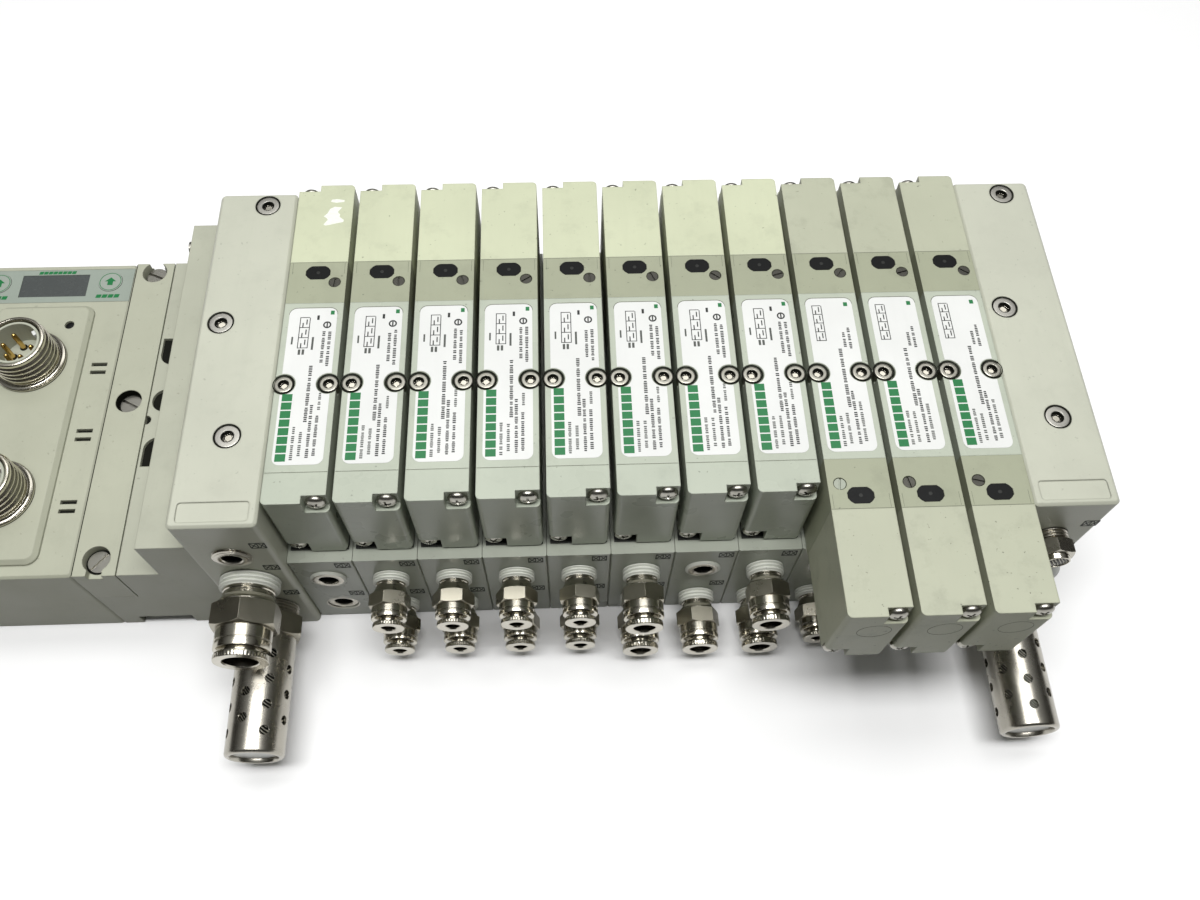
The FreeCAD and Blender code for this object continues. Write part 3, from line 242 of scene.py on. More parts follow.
def glossy(name, channels, roughness, coat, shine):
    """Dark moulded plastic and windows, with dust; also the near-black used as painted shadow."""
    colour = srgb(channels)
    finish = Finish(name, roughness, coat=coat)
    finish.shader.inputs["Specular IOR Level"].default_value = shine
    dust = finish.band(finish.noise(700.0, 5.0, 0.7), 0.55, 0.85, 0.0, 0.3)
    finish.colour(finish.mix(dust, colour, shade(colour, 2.0)))
    finish.rough(finish.band(finish.noise(300.0), 0.3, 0.7, roughness, roughness + 0.12))
    finish.soften(0.1 * MM)
    finish.bump(finish.noise(1800.0, 2.0), 0.004 * MM)
    return finish.done()


def woven(name, colour):
    """Wire mesh, as the silencers' holes and the breather's end show it: wires and openings are its
    own pattern, and its dark colour is partly painted shade.
    """
    finish = Finish(name, 0.4, metallic=1.0)
    wires = finish.node("ShaderNodeTexWave", {"bands_direction": "DIAGONAL"},
                        Vector=finish.stretched((1.0, 1.0, 0.6)), Scale=620.0, Distortion=1.2,
                        Detail=1.0).outputs["Fac"]
    lit = finish.band(wires, 0.45, 0.8)
    finish.colour(finish.mix(lit, shade(colour, 0.07), shade(colour, 1.6)))
    finish.bump(wires, 0.2 * MM)
    return finish.done()


# Colour from 0 to 255, roughness, grain, edge and dirt
CAST = painted("cast_paint", (199, 201, 184), 0.38, 0.012, 0.7, 0.25)
BLOCK = painted("block_paint", (177, 182, 168), 0.30, 0.008, 0.3, 0.25)
VALVE = painted("valve_paint", (187, 194, 177), 0.29, 0.010, 0.5, 0.42)
PILOT = painted("pilot_plastic", (165, 169, 144), 0.46, 0.014, 0.3, 0.45)
CREAM = painted("cream_plastic", (208, 213, 182), 0.45, 0.016, 0.5, 0.5)
GREY = painted("grey_plastic", (186, 189, 166), 0.45, 0.016, 0.5, 0.7)
HOUSING = painted("module_plastic", (184, 186, 166), 0.44, 0.012, 0.5, 0.25)
ADAPTER = painted("adapter_plastic", (183, 185, 167), 0.44, 0.012, 0.5, 0.3)
FILM = painted("overlay_film", (158, 168, 157), 0.3, 0.004, 0.1, 0.06)
KEY_FILM = painted("key_film", (162, 171, 161), 0.3, 0.004, 0.2, 0.06)
WHITE_PLUG = painted("plug_plastic", (212, 215, 208), 0.38, 0.01, 0.6, 0.15)
LABEL = painted("label_film", (233, 234, 231), 0.36, 0.004, 0.1, 0.04)
INSERT = painted("insert_plastic", (188, 191, 174), 0.5, 0.01, 0.2, 0.2)
SEALANT = painted("thread_sealant", (232, 234, 224), 0.5, 0.03, 0.1, 0.3)
PALE_BUTTON = painted("button_plastic", (168, 174, 158), 0.4, 0.01, 0.2, 0.4)
# Colour from 0 to 255, roughness, coat and shine
RUBBER = glossy("gasket_rubber", (24, 26, 22), 0.5, 0.0, 0.5)
BLACK = glossy("window_black", (14, 15, 15), 0.42, 0.0, 0.2)
DISPLAY = glossy("display_window", (80, 84, 83), 0.2, 0.1, 0.4)
# Painted shadow: a near-black put in recesses, gaps and holes where shade falls
SHADOW = glossy("recess_shadow", (26, 27, 22), 0.8, 0.0, 0.1)
# Linear colour and roughness
NICKEL = plated("nickel", (0.50, 0.475, 0.405), 0.17)
# Painted shade: a darker copy of the nickel for the hexagons of fittings and silencer nuts
HEXAGON_SHADED = plated("hexagon_nickel_painted_shade", (0.37, 0.35, 0.285), 0.3)
# Painted highlight: a brighter copy of the nickel for the connectors' threads and mouths
THREAD_HIGHLIGHT = plated("thread_nickel_painted_highlight", (0.70, 0.66, 0.56), 0.2)
SLEEVE = plated("sleeve_nickel", (0.41, 0.39, 0.34), 0.26)
SATIN = plated("satin_steel", (0.42, 0.40, 0.345), 0.28)
DISC = plated("end_disc", (0.46, 0.46, 0.44), 0.5)
SCREW = plated("screw_steel", (0.44, 0.43, 0.39), 0.36)
HEAD = plated("cover_screw_steel", (0.36, 0.35, 0.31), 0.28)
SOCKET = plated("socket_steel", (0.34, 0.33, 0.285), 0.36)
BUTTON = plated("button_steel", (0.085, 0.083, 0.072), 0.45)
GOLD = plated("contact_gold", (0.62, 0.42, 0.14), 0.22)
# Painted shade in part: the mesh is kept dark for the shade behind the silencers' holes
MESH = woven("element_mesh_painted_shade", (0.17, 0.165, 0.14))
# Colour from 0 to 255, and roughness
GREEN = inked("green_ink", (14, 116, 60))
DARK_INK = inked("dark_ink", (34, 36, 34))
GREY_INK = inked("grey_ink", (78, 81, 76))
SCUFF = inked("paint_scuff", (240, 243, 232), 0.5)
LINE = inked("joint_line", (96, 99, 84), 0.6)
MARK = inked("port_mark", (52, 58, 48), 0.6)


def add_object(name, data):
    thing = bpy.data.objects.new(name, data)
    bpy.context.collection.objects.link(thing)
    return thing


# Mesh helpers: every shape is a mesh in metres, and joined() makes one piece of many

def mesh_from(points, faces):
    """A mesh with its touching points merged and its faces turned outwards."""
    mesh = bpy.data.meshes.new("shape")
    mesh.from_pydata([tuple(point) for point in points], [], faces)
    shape = bmesh.new()
    shape.from_mesh(mesh)
    bmesh.ops.remove_doubles(shape, verts=shape.verts, dist=1e-7)
    bmesh.ops.recalc_face_normals(shape, faces=shape.faces)
    shape.to_mesh(mesh)
    shape.free()
    return mesh


def rings(loops, cap_start=True, cap_end=True):
    """Join closed loops of equal length into one surface."""
    count = len(loops[0])
    points = [point for loop in loops for point in loop]
    faces = []
    for row in range(len(loops) - 1):
        for column in range(count):
            following = (column + 1) % count
            faces.append((row * count + column, row * count + following,
                          (row + 1) * count + following, (row + 1) * count + column))
    if cap_start:
        faces.append(tuple(range(count))[::-1])
    if cap_end:
        faces.append(tuple(range(len(points) - count, len(points))))
    return mesh_from(points, faces)


def around(radius, distance, count):
    """A circle round the forward axis, at a distance ahead of the origin, in mm."""
    loop = []
    for number in range(count):
        angle = 2 * pi * number / count
        reach = radius(angle) if callable(radius) else radius
        loop.append(Vector((reach * sin(angle), -distance, reach * cos(angle))) * MM)
    return loop


def turned(profile, count=48, cap_start=True, cap_end=True):
    """Turn (distance, radius) pairs in mm about the forward axis."""
    return rings([around(radius, distance, count) for distance, radius in profile],
                 cap_start, cap_end)


def skin(profile, count=72):
    """A turned surface that is open at both ends."""
    return turned(profile, count, False, False)


def hexagon_reach(across_flats):
    """The distance from the middle to a hexagon's side, for an angle from a corner."""
    def reach(angle):
        off = (angle % (pi / 3)) - pi / 6
        return across_flats / 2 / cos(off)
    return reach


def nut(start, end, across_flats):
    """A hexagon between two distances, with its corners cut by 30 degree cones."""
    count = 72
    reach = hexagon_reach(across_flats)
    limit = across_flats / 2 * 1.03

    def cut(angle):
        return max(0.0, reach(angle) - limit) * tan(radians(30))

    def low(angle):
        return min(reach(angle), limit)

    def corners(side, sign):
        return [point - Vector((0, sign * cut(2 * pi * number / count) * MM, 0))
                for number, point in enumerate(around(reach, side, count))]

    return rings([around(low, start, count), corners(start, 1), corners(end, -1),
                  around(low, end, count)])


def ridges(start, end, pitch_mm, crest, root):
    """Profile of a thread drawn as rings, from start to end."""
    profile = []
    turns = max(1, round((end - start) / pitch_mm))
    step = (end - start) / turns
    for number in range(turns):
        foot = start + number * step
        profile += [(foot, root), (foot + step * 0.3, crest), (foot + step * 0.55, crest),
                    (foot + step * 0.85, root)]
    return profile + [(end, root)]


def knurled(profile, bites):
    """Turn (distance, radius, depth of the rim's bites) rows in mm."""
    def loop(distance, radius, depth):
        def reach(angle):
            return radius - (depth if cos(bites * angle) > 0.35 else 0.0)
        return around(reach, distance, 4 * bites)

    return rings([loop(*row) for row in profile], False, False)


def slab(outline, bottom, top):
    """An upright prism on a flat outline; outline in mm, heights in metres."""
    low = [Vector((x * MM, y * MM, bottom)) for x, y in outline]
    high = [Vector((x * MM, y * MM, top)) for x, y in outline]
    return rings([low, high])


def bar(x0, x1, y0, y1, bottom, top):
    return slab([(x0, y0), (x1, y0), (x1, y1), (x0, y1)], bottom, top)


def arc(x, y, radius, start, end, steps):
    """Points on an arc; angles in degrees."""
    return [
        (x + radius * cos(radians(start + (end - start) * step / steps)),
         y + radius * sin(radians(start + (end - start) * step / steps)))
        for step in range(steps + 1)
    ]


def printed_ring(x, y, outer, inner, low, high, count):
    """A flat ring; place and radii in mm, heights in metres."""
    return rings([
        [Vector((px * MM, py * MM, z)) for px, py in
         arc(x, y, radius, 0, 360 - 360 / count, count - 1)]
        for radius, z in ((outer, low), (outer, high), (inner, high), (inner, low))
    ], False, False)


def cut_out(mesh, cutters):
    """A mesh less the closed meshes that cut it."""
    target = add_object("cut_target", mesh)
    tool = add_object("cut_tool", merged(cutters))
    cut = target.modifiers.new("cut", "BOOLEAN")
    cut.operation = "DIFFERENCE"
    cut.solver = "EXACT"
    cut.object = tool
    graph = bpy.context.evaluated_depsgraph_get()
    result = bpy.data.meshes.new_from_object(target.evaluated_get(graph))
    for thing in (target, tool):
        bpy.data.objects.remove(thing)
    return result


def joined(parts):
    """One mesh of (mesh, matrix, material) parts."""
    whole = bmesh.new()
    materials = []
    for mesh, matrix, material in parts:
        if material not in materials:
            materials.append(material)
        before = len(whole.faces)
        moved = mesh.copy()
        moved.transform(matrix)
        whole.from_mesh(moved)
        bpy.data.meshes.remove(moved)
        whole.faces.ensure_lookup_table()
        for face in whole.faces[before:]:
            face.material_index = materials.index(material)
    mesh = bpy.data.meshes.new("joined")
    whole.to_mesh(mesh)
    whole.free()
    for material in materials:
        if material:
            mesh.materials.append(material)
    return mesh


def merged(meshes, where=Matrix()):
    """One mesh of several, without materials."""
    return joined([(mesh, where, None) for mesh in meshes])


def placed(parts, where):
    """(mesh, material) pairs as parts at one place."""
    return [(mesh, where, material) for mesh, material in parts]


def piece(name, parts, body="island", replaces=()):
    """A finished piece of the island, riding on a body, in place of any nodes named."""
    mesh = joined(parts)
    mesh.shade_smooth()
    mesh.set_sharp_from_angle(angle=radians(32))
    thing = add_object(name, mesh)
    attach(thing, body)
    if replaces:
        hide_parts(*replaces)


def at(x, y, z, axis="Z", turn=0.0):
    """A place in metres, with a turn in degrees."""
    return Matrix.Translation((x, y, z)) @ Matrix.Rotation(radians(turn), 4, axis)


# Materials for the solids that keep their shape

def dress_solids():
    looks = {
        "left_end_plate": CAST, "right_end_plate": CAST, "manifold_blocks": BLOCK,
        "valve_bodies": VALVE, "pilot_bodies": PILOT, "cream_coil_covers": CREAM,
        "grey_coil_covers": GREY, "front_end_covers": VALVE, "valve_gaskets": RUBBER,
        "silencer_elements": MESH, "valve_side_adapter": ADAPTER, "clamp_strip": HOUSING,
        "clamp_screws": HEAD, "comm_module_housing": HOUSING, "comm_overlay": FILM,
        "display_window": DISPLAY, "connector_inserts": INSERT, "set_key": KEY_FILM,
        "next_key": KEY_FILM,
    }
    for name, material in looks.items():
        for slot in frame["nodes"][name].material_slots:
            slot.material = material


# Push-in fittings

# Distances ahead of the port's face, radii and widths, in mm; hex is start, end and width
FITTING = {
    "small": Sizes(crest=5.45, root=4.7, seal=2.7, neck=4.45, shoulder=5.3, hex=(6.3, 10.4, 11.0),
                   nose=5.3, nose_end=14.1, ring_back=15.1, face=16.6, ring=4.7, bore=2.1,
                   bites=30),
    "large": Sizes(crest=5.7, root=4.95, seal=3.4, neck=4.75, shoulder=5.7, hex=(6.6, 11.4, 12.0),
                   nose=6.1, nose_end=16.0, ring_back=17.0, face=19.0, ring=5.65, bore=3.25,
                   bites=34),
    "supply": Sizes(crest=8.75, root=7.9, seal=3.7, neck=7.5, shoulder=8.75,
                    hex=(8.5, 15.7, 18.0), nose=8.15, nose_end=22.1, ring_back=23.1, face=25.1,
                    ring=7.85, bore=5.0, bites=46),
}
SLEEVE_WALL = 0.9
SLEEVE_FIT = 0.08
SLEEVE_BACK = 6.0
BITE = 0.11
WIDEST_SMALL = 3  # radius in mm above which a tube needs the large fitting


def fitting_body(kind):
    """Thread with sealant, turned shoulder, hexagon and grooved nose, as (mesh, material)."""
    d = FITTING[kind]
    start, end, across = d.hex
    nose, nose_end = d.nose, d.nose_end
    threads = ridges(0.0, d.seal, d.seal / 3, d.crest, d.root)
    seal = turned([(-2.0, d.root - 0.3)] + threads + [(d.seal, d.neck - 0.3)])
    rise = start - d.seal
    neck = turned([
        (d.seal - 0.3, d.neck), (d.seal + rise * 0.14, d.neck),
        (d.seal + rise * 0.2, d.neck - 0.25), (d.seal + rise * 0.3, d.neck - 0.25),
        (d.seal + rise * 0.36, d.neck + 0.1), (d.seal + rise * 0.5, d.neck + 0.1),
        (start - rise * 0.12, d.shoulder), (start + 0.2, d.shoulder)], 56)
    nose_start = end - 0.1
    groove = nose_start + (nose_end - nose_start) * 0.62
    inner = d.bore + SLEEVE_WALL + SLEEVE_FIT
    front = turned([
        (nose_start, nose * 0.93), (nose_start + 0.3, nose), (groove - 0.3, nose),
        (groove - 0.2, nose - 0.28), (groove + 0.2, nose - 0.28), (groove + 0.3, nose),
        (nose_end - 0.35, nose), (nose_end - 0.1, nose - 0.12), (nose_end, nose - 0.35),
        (nose_end, inner), (nose_end - SLEEVE_BACK, inner), (nose_end - SLEEVE_BACK, 0.3),
    ], 56)
    # The hexagon takes the darker nickel, painted shade.
    return [(seal, SEALANT), (neck, NICKEL), (nut(start, end, across), HEXAGON_SHADED), (front, NICKEL)]


def fitting_collar(kind):
    """Release collar: sleeve, and a ring with fine bites round its front rim."""
    d = FITTING[kind]
    face, back, ring, bore = d.face, d.ring_back, d.ring, d.bore
    outer = bore + SLEEVE_WALL
    length = face - back
    return knurled([
        (back - SLEEVE_BACK, outer, 0), (back, outer, 0), (back, ring - 0.35, 0),
        (back + 0.1, ring - 0.12, 0), (back + 0.3 * length, ring, 0),
        (back + 0.36 * length, ring, BITE), (face - 0.22, ring, BITE), (face - 0.16, ring, 0),
        (face, ring - 0.12, 0), (face, bore + 0.35, 0), (face - 0.3, bore, 0),
        (back - SLEEVE_BACK, bore, 0), (back - SLEEVE_BACK, outer, 0),
    ], d.bites)


# Turn of each station's hexagon, in degrees from a corner at the top, as it was tightened
HEXAGON_TURNS = {
    "upper": {2: -9, 3: 30, 4: 26, 5: -12, 6: 3, 8: 2},
    "lower": {2: 22, 3: 12, 4: -15, 5: 27, 6: 20, 7: 38, 8: -20, 9: 14},
}
SUPPLY_TURN = 5


def add_fittings():
    templates = {kind: fitting_body(kind) for kind in FITTING}
    collars = {kind: fitting_collar(kind) for kind in FITTING}
    parts = []
    for (number, port), mount in tubes.items():
        kind = "small" if mount["dims"]["r_mm"] < WIDEST_SMALL else "large"
        x, y, z = mount["pos_m"]
        face = y + FITTING[kind].face * MM
        parts += placed(templates[kind], at(x, face, z, "Y", HEXAGON_TURNS[port][number]))
        node = f"collar_{number:02d}_{port}"
        piece(f"{node}_turned", [(collars[kind], at(x, face, z, "Y", 11 * number), NICKEL)], node,
              [node])
    piece("station_fittings", parts, replaces=["station_fitting_bodies"])
    x, y, z = mounts["supply_tube"]["pos_m"]
    face = y + FITTING["supply"].face * MM
    piece("supply_fitting", placed(templates["supply"], at(x, face, z, "Y", SUPPLY_TURN)),
          replaces=["supply_fitting_body"])
    piece("supply_collar_turned", [(collars["supply"], at(x, face, z), NICKEL)],
          "supply_collar", ["supply_collar"])


def plug(stand, sealed):
    """A socket plug that stands out of its port by some mm, or sits below its face, and last
    the sealant on its threads or the port's mouth."""
    reach = hexagon_reach(4.9)
    solid = turned([
        (-6.0, 4.5), (stand - 0.3, 4.75), (stand - 0.1, 4.68), (stand, 4.45), (stand, 3.25),
        (stand - 0.12, 3.05), (stand - 0.4, 2.85),
    ], 60, True, False)
    # Painted shade: the socket's hexagon walls and floor are in the near-black recess_shadow
    socket = rings([around(2.85, stand - 0.4, 60), around(reach, stand - 0.6, 60),
                    around(reach, stand - 3.2, 60)], False, True)
    parts = [(solid, SATIN), (socket, SHADOW)]
    if sealed:
        crests = skin([(-0.5, 4.3)] + ridges(-0.05, stand - 0.1, 0.5, 5.4, 4.85)
                      + [(stand - 0.1, 4.3)], 60)
        parts.append((crests, SEALANT))
    else:
        mouth = skin([(stand - 0.4, 4.95), (stand + 0.1, 4.95), (0.03, 5.3), (0.05, 5.15),
                      (stand + 0.2, 4.8)], 60)
        parts.append((mouth, SATIN))
    return parts


def add_plugs():
    """Port plugs: the upper ones stand out with sealant on their threads."""
    plugs = {"upper": plug(0.95, True), "lower": plug(-0.3, False)}
    heights = {port: mount["pos_m"][2] for (_, port), mount in tubes.items()}
    parts = []
    for number in STATIONS:
        for port, z in heights.items():
            if (number, port) not in tubes:
                parts += placed(plugs[port],
                                at(station_x(number), blocks_low.y, z, "Y", 17 * number))
    radius, stand = 4.85, 1.2
    threads = skin([(-1.0, 4.3)] + ridges(-0.1, 1.1, 0.6, 5.5, radius) + [(1.1, 4.3)], 60)
    parts += placed(plug(stand, False)[:-1] + [(threads, SATIN)],
                    at(plate_middles[0], plate_front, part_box("port_plugs")[1][2] - radius * MM,
                       "Y", 10))
    piece("turned_plugs", parts, replaces=["port_plugs"])


# Silencers, breather and the rounded plug

SILENCER_Z = 15.5 * MM
HOLE_PITCH = 7.7


def perforated_sleeve(shift):
    """Sleeve with staggered rows of holes, a rolled rim and a dished end."""
    wall, radius, start, end, roll = 0.8, 8.7, 10.5, 47.1, 1.1
    hole_radius, end_margin, start_margin = 1.42, 6.5, 3.5
    profile = [(start, radius - wall), (start, radius)]
    profile += arc(end - roll, radius - roll, roll, 90, 0, 6)
    profile += [(end - 0.12, 7.2), (end - 0.5, 6.95), (end - 1.6, 6.9), (end - 1.6, 0.4),
                (end - 2.2, 0.4), (end - 2.2, radius - wall), (start, radius - wall)]
    shell = skin(profile, 96)
    drills = []
    for row in range(8):
        distance = end - end_margin - (HOLE_PITCH / 2 if row % 2 else 0)
        while distance >= start + start_margin:
            drill = turned([(6.5, hole_radius), (10.5, hole_radius)], 20)
            drill.transform(at(0, 0, 0, "Y", shift + 45 * row) @ at(0, -distance * MM, 0)
                            @ UPRIGHT)
            drills.append(drill)
            distance -= HOLE_PITCH
    return cut_out(shell, drills)


def add_silencers():
    # The silencer nut takes the darker nickel, painted shade.
    shared = [
        (turned([(-2.0, 7.9)] + ridges(0.0, 3.9, 1.0, 8.6, 7.9) + [(3.9, 7.3)]), SATIN),
        (nut(4.0, 10.6, 19.0), HEXAGON_SHADED),
    ]
    disc = turned([(45.3, 6.85), (45.75, 6.8), (45.8, 6.5), (45.8, 0.4)], 64, False, True)
    bodies, sleeves = [], []
    for middle, shift, turn in zip(plate_middles, (29, -4), (18, 0)):
        bodies += placed(shared, at(middle, plate_front, SILENCER_Z, "Y", turn))
        sleeves += placed([(perforated_sleeve(shift), SLEEVE), (disc, DISC)],
                          at(middle, plate_front, SILENCER_Z))
    piece("silencer_nuts", bodies, replaces=["silencer_bodies"])
    piece("silencer_shells", sleeves, replaces=["silencer_sleeves"])


def add_breather():
    low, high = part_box("breather")
    z = (low[2] + high[2]) / 2
    where = at(plate_middles[1], plate_front, z, "Y", -8)
    piece("breather_turned", placed([
        (turned([(-2.0, 4.4)] + ridges(0.0, 2.85, 0.95, 4.9, 4.35) + [(3.0, 4.0)]), SATIN),
        (nut(3.0, 7.4, 10.0), SATIN),
        (skin([(7.2, 3.9), (8.6, 3.9), (8.9, 3.78), (9.0, 3.55), (8.95, 3.35), (8.5, 3.3)], 44),
         NICKEL),
        (skin([(8.6, 3.35), (8.85, 2.2), (8.92, 0.3)], 32), MESH),
    ], where), replaces=["breather"])


def add_blank():
    low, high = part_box("supply_blank")
    z = (low[2] + high[2]) / 2
    profile = [(0.0, 9.0), (0.3, 9.3)] + arc(3.9, 6.4, 2.9, 90, 0, 8) + [(6.78, 3.0), (6.75, 0.3)]
    piece("blank_plug", [(turned(profile, 56), at(plate_middles[1], plate_front, z), WHITE_PLUG)],
          replaces=["supply_blank"])


# Buttons on the pilot bodies

def slotted_button(radius, bottom, top, slot, turn):
    """A round button with a slot across its face; radius and slot in mm."""
    depth = 0.5 * MM
    base = turned([(0, radius), (1, radius)], 36)
    base.transform(at(0, 0, bottom) @ Matrix.Diagonal((1, 1, (top - depth - bottom) / MM, 1))
                   @ UPRIGHT)
    lean = degrees(asin(slot / 2 / radius))
    cheeks = [slab(arc(0, 0, radius, half + lean, half + 180 - lean, 14), top - depth, top)
              for half in (0, 180)]
    return merged([base] + cheeks, at(0, 0, 0, "Z", turn))


PALE_OVERRIDES = ("front_override_09",)


def add_overrides():
    names = [name for name in frame["bodies"] if "_override_" in name]
    for name in sorted(names):
        low, high = (Vector(corner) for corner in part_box(name))
        middle = (low + high) / 2
        radius = (high.x - low.x) / 2 / MM - 0.1
        button = slotted_button(radius, low.z, high.z, 0.5, chance.uniform(0, 180))
        look = PALE_BUTTON if name in PALE_OVERRIDES else BUTTON
        piece(f"{name}_button", [(button, at(middle.x, middle.y, 0), look)], name, [name])


def add_windows():
    """Black windows with round ends and a faint lens in the middle."""
    low, high = (Vector(corner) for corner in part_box("indicator_windows"))
    offset = high.y - 2.4 * MM
    outline = []
    for x, y, start in ((1.35, -0.2, -90), (1.35, 0.2, 0), (-1.35, 0.2, 90), (-1.35, -0.2, 180)):
        outline += arc(x, y, 2.25, start, start + 90, 8)
    pane = slab(outline, low.z, valve_top + 0.03 * MM)
    lens = slab(arc(0, 0, 0.55, 0, 342, 19), valve_top, valve_top + 0.06 * MM)
    parts = []
    for number in STATIONS:
        for side in ([1, -1] if number > SINGLE_VALVES else [1]):
            where = at(station_x(number), side * offset, 0)
            parts += [(pane, where, BLACK), (lens, where, RUBBER)]
    piece("window_panes", parts, replaces=["indicator_windows"])


def socket_head(radius, height, across, edge, gap_top, look):
    """A cap screw's head with a rounded edge and a hexagon socket, with painted shade on the socket's
    walls, a painted highlight on its floor and a painted shadow in the dark gap round it; sizes in mm.
    """
    mouth = across * 0.61
    profile = [(0.0, radius)] + arc(height - edge, radius - edge, edge, 90, 0, 6)
    profile += [(height, mouth + 0.1), (height - 0.08, mouth)]
    reach, floor = hexagon_reach(across), height - 1.3
    # Painted shade: the socket's walls are in the near-black recess_shadow
    shaded_walls = rings([around(mouth, height - 0.08, 48), around(reach, height - 0.2, 48),
                   around(reach, floor, 48)], False, False)
    # Painted highlight: the socket's floor is in the brighter nickel
    bottom = turned([(floor, across * 0.58), (floor, across * 0.36), (floor + 0.2, across * 0.33),
                     (floor + 0.2, 0.1)], 24, False, True)
    # Painted shadow: a dark ring round the head, in the gap of its seat
    gap = skin([(gap_top - 0.1, radius + 0.3), (gap_top, radius + 0.3), (gap_top, radius - 0.02)],
               48)
    return [(turned(profile, 48, True, False), look), (shaded_walls, SHADOW), (bottom, NICKEL),
            (gap, SHADOW)]


# End plate screws in mm: from the plate's left face, and from the line of the valve screws
PLATE_SCREWS = ((15.0, 67.0), (6.2, 22.9), (13.0, -15.2))


def add_cap_screws():
    low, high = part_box("end_plate_screws")
    height = (high[2] - low[2]) / MM
    head = socket_head(3.5, height, 3.0, 0.3, height + 0.18, SCREW)
    parts = []
    for plate in ("left_end_plate", "right_end_plate"):
        for side, line in PLATE_SCREWS:
            parts += placed(head, at(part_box(plate)[0][0] + side * MM, line * MM, low[2], "Z",
                                     chance.uniform(0, 60)) @ UPRIGHT)
    piece("plate_cap_screws", parts, replaces=["end_plate_screws"])

    low, high = (Vector(corner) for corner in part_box("valve_screws"))
    radius = high.y / MM
    height = (high.z - low.z) / MM
    head = socket_head(radius, height, 2.5, 0.45, height + 0.03, SOCKET)
    parts = []
    for number in STATIONS:
        for side in (-1, 1):
            x = station_x(number) + side * (high.x - station_x(STATIONS[-1]) - radius * MM)
            parts += placed(head, at(x, 0, low.z, "Z", chance.uniform(0, 60)) @ UPRIGHT)
    piece("valve_cap_screws", parts, replaces=["valve_screws"])


# Cover screws

def cross_head():
    """A pan head with a cross recess, pointing forward from its seat."""
    head = turned([(0.0, 2.65), (0.25, 2.8), (0.8, 2.8), (1.25, 2.55), (1.65, 2.0), (1.88, 1.3),
                   (2.0, 0.3)], 40)
    for turn in (0, 90):
        arm = slab([(-1.75, -0.9), (1.75, -0.9), (1.25, 0.6), (-1.25, 0.6)], -0.32 * MM, 0.32 * MM)
        arm.transform(at(0, 0, 0, "Y", turn) @ at(0, -1.9 * MM, 0))
        head = cut_out(head, [arm])
    return head


def add_cover_screws():
    """Two screws in the notches of every cover; a rear cover is a front one turned round."""
    head = cross_head()
    notch = 2.4 * MM
    base = blocks_high.z
    parts = []
    for number in STATIONS:
        x = station_x(number)
        front = (coil_front, 3.5) if number > SINGLE_VALVES else (end_cover_front, 3.6)
        for turn, (edge, rise) in ((0, front), (180, (-cover_rear, 3.5))):
            for side, z in ((5.3 * MM, valve_top - 2.9 * MM), (-5.75 * MM, base + rise * MM)):
                local = at(side, edge + notch, z, "Y", chance.uniform(0, 90))
                parts.append((head, at(x, 0, 0, "Z", turn) @ local, HEAD))
    piece("cover_screws", parts)


# Labels with plain printed fields

# How deep thin plates sink into their face, and how high labels and their ink stand
SUNK = 0.02 * MM
LABEL_LIFT = 0.08 * MM
INK_LIFT = 0.10 * MM


def label_outline():
    """Rounded rectangle with a bite round each valve screw."""
    half, front, rear, corner = 6.95, -25.7, 26.0, 2.2
    bite, screw = 3.5, 6.25
    reach = degrees(acos((half - screw) / bite))
    right, left = half - corner, corner - half
    low, high = front + corner, rear - corner
    return (arc(right, low, corner, -90, 0, 6) + arc(screw, 0, bite, -reach, reach - 360, 22)
            + arc(right, high, corner, 0, 90, 6) + arc(left, high, corner, 90, 180, 6)
            + arc(-screw, 0, bite, 180 - reach, reach - 180, 22)
            + arc(left, low, corner, 180, 270, 6))


def print_words(x, start, end, size, material):
    """A printed line as words of fine ticks along Y: no letters."""
    thick, step, space, shortest = 0.4, 0.6, 0.45, 0.8
    fields = []
    y = start
    while y < end - shortest:
        for _ in range(chance.randint(2, 8)):
            reach = size / 2 * chance.choice((0.8, 1.0, 1.0))
            fields.append((x - reach, x + reach, y, y + thick, material))
            y += step
            if y > end:
                break
        y += space
    return fields


def blocks(x0, x1, start, end, count, material):
    """A plain bar broken into equal blocks along Y."""
    step = (end - start) / count
    return [(x0, x1, start + step * number, start + step * (number + 0.86), material)
            for number in range(count)]


def valve_symbol(x0, x1, y0, y1, cells):
    """The squares of a flow symbol, drawn with thin lines."""
    thin, wide, cell = 0.24, x1 - x0, (y1 - y0) / cells
    fields = [(x, x + thin, y0, y1) for x in (x0, x1)]
    for number in range(cells + 1):
        y = y0 + cell * number
        fields.append((x0, x1, y, y + thin))
        if number < cells:
            inner = y + cell / 2
            fields.append((x0 + wide * 0.3, x0 + wide * 0.42, y, inner))
            fields.append((x0 + wide * 0.68, x0 + wide * 0.8, inner - 0.6, inner + 1.2))
    return [(*field, DARK_INK) for field in fields]


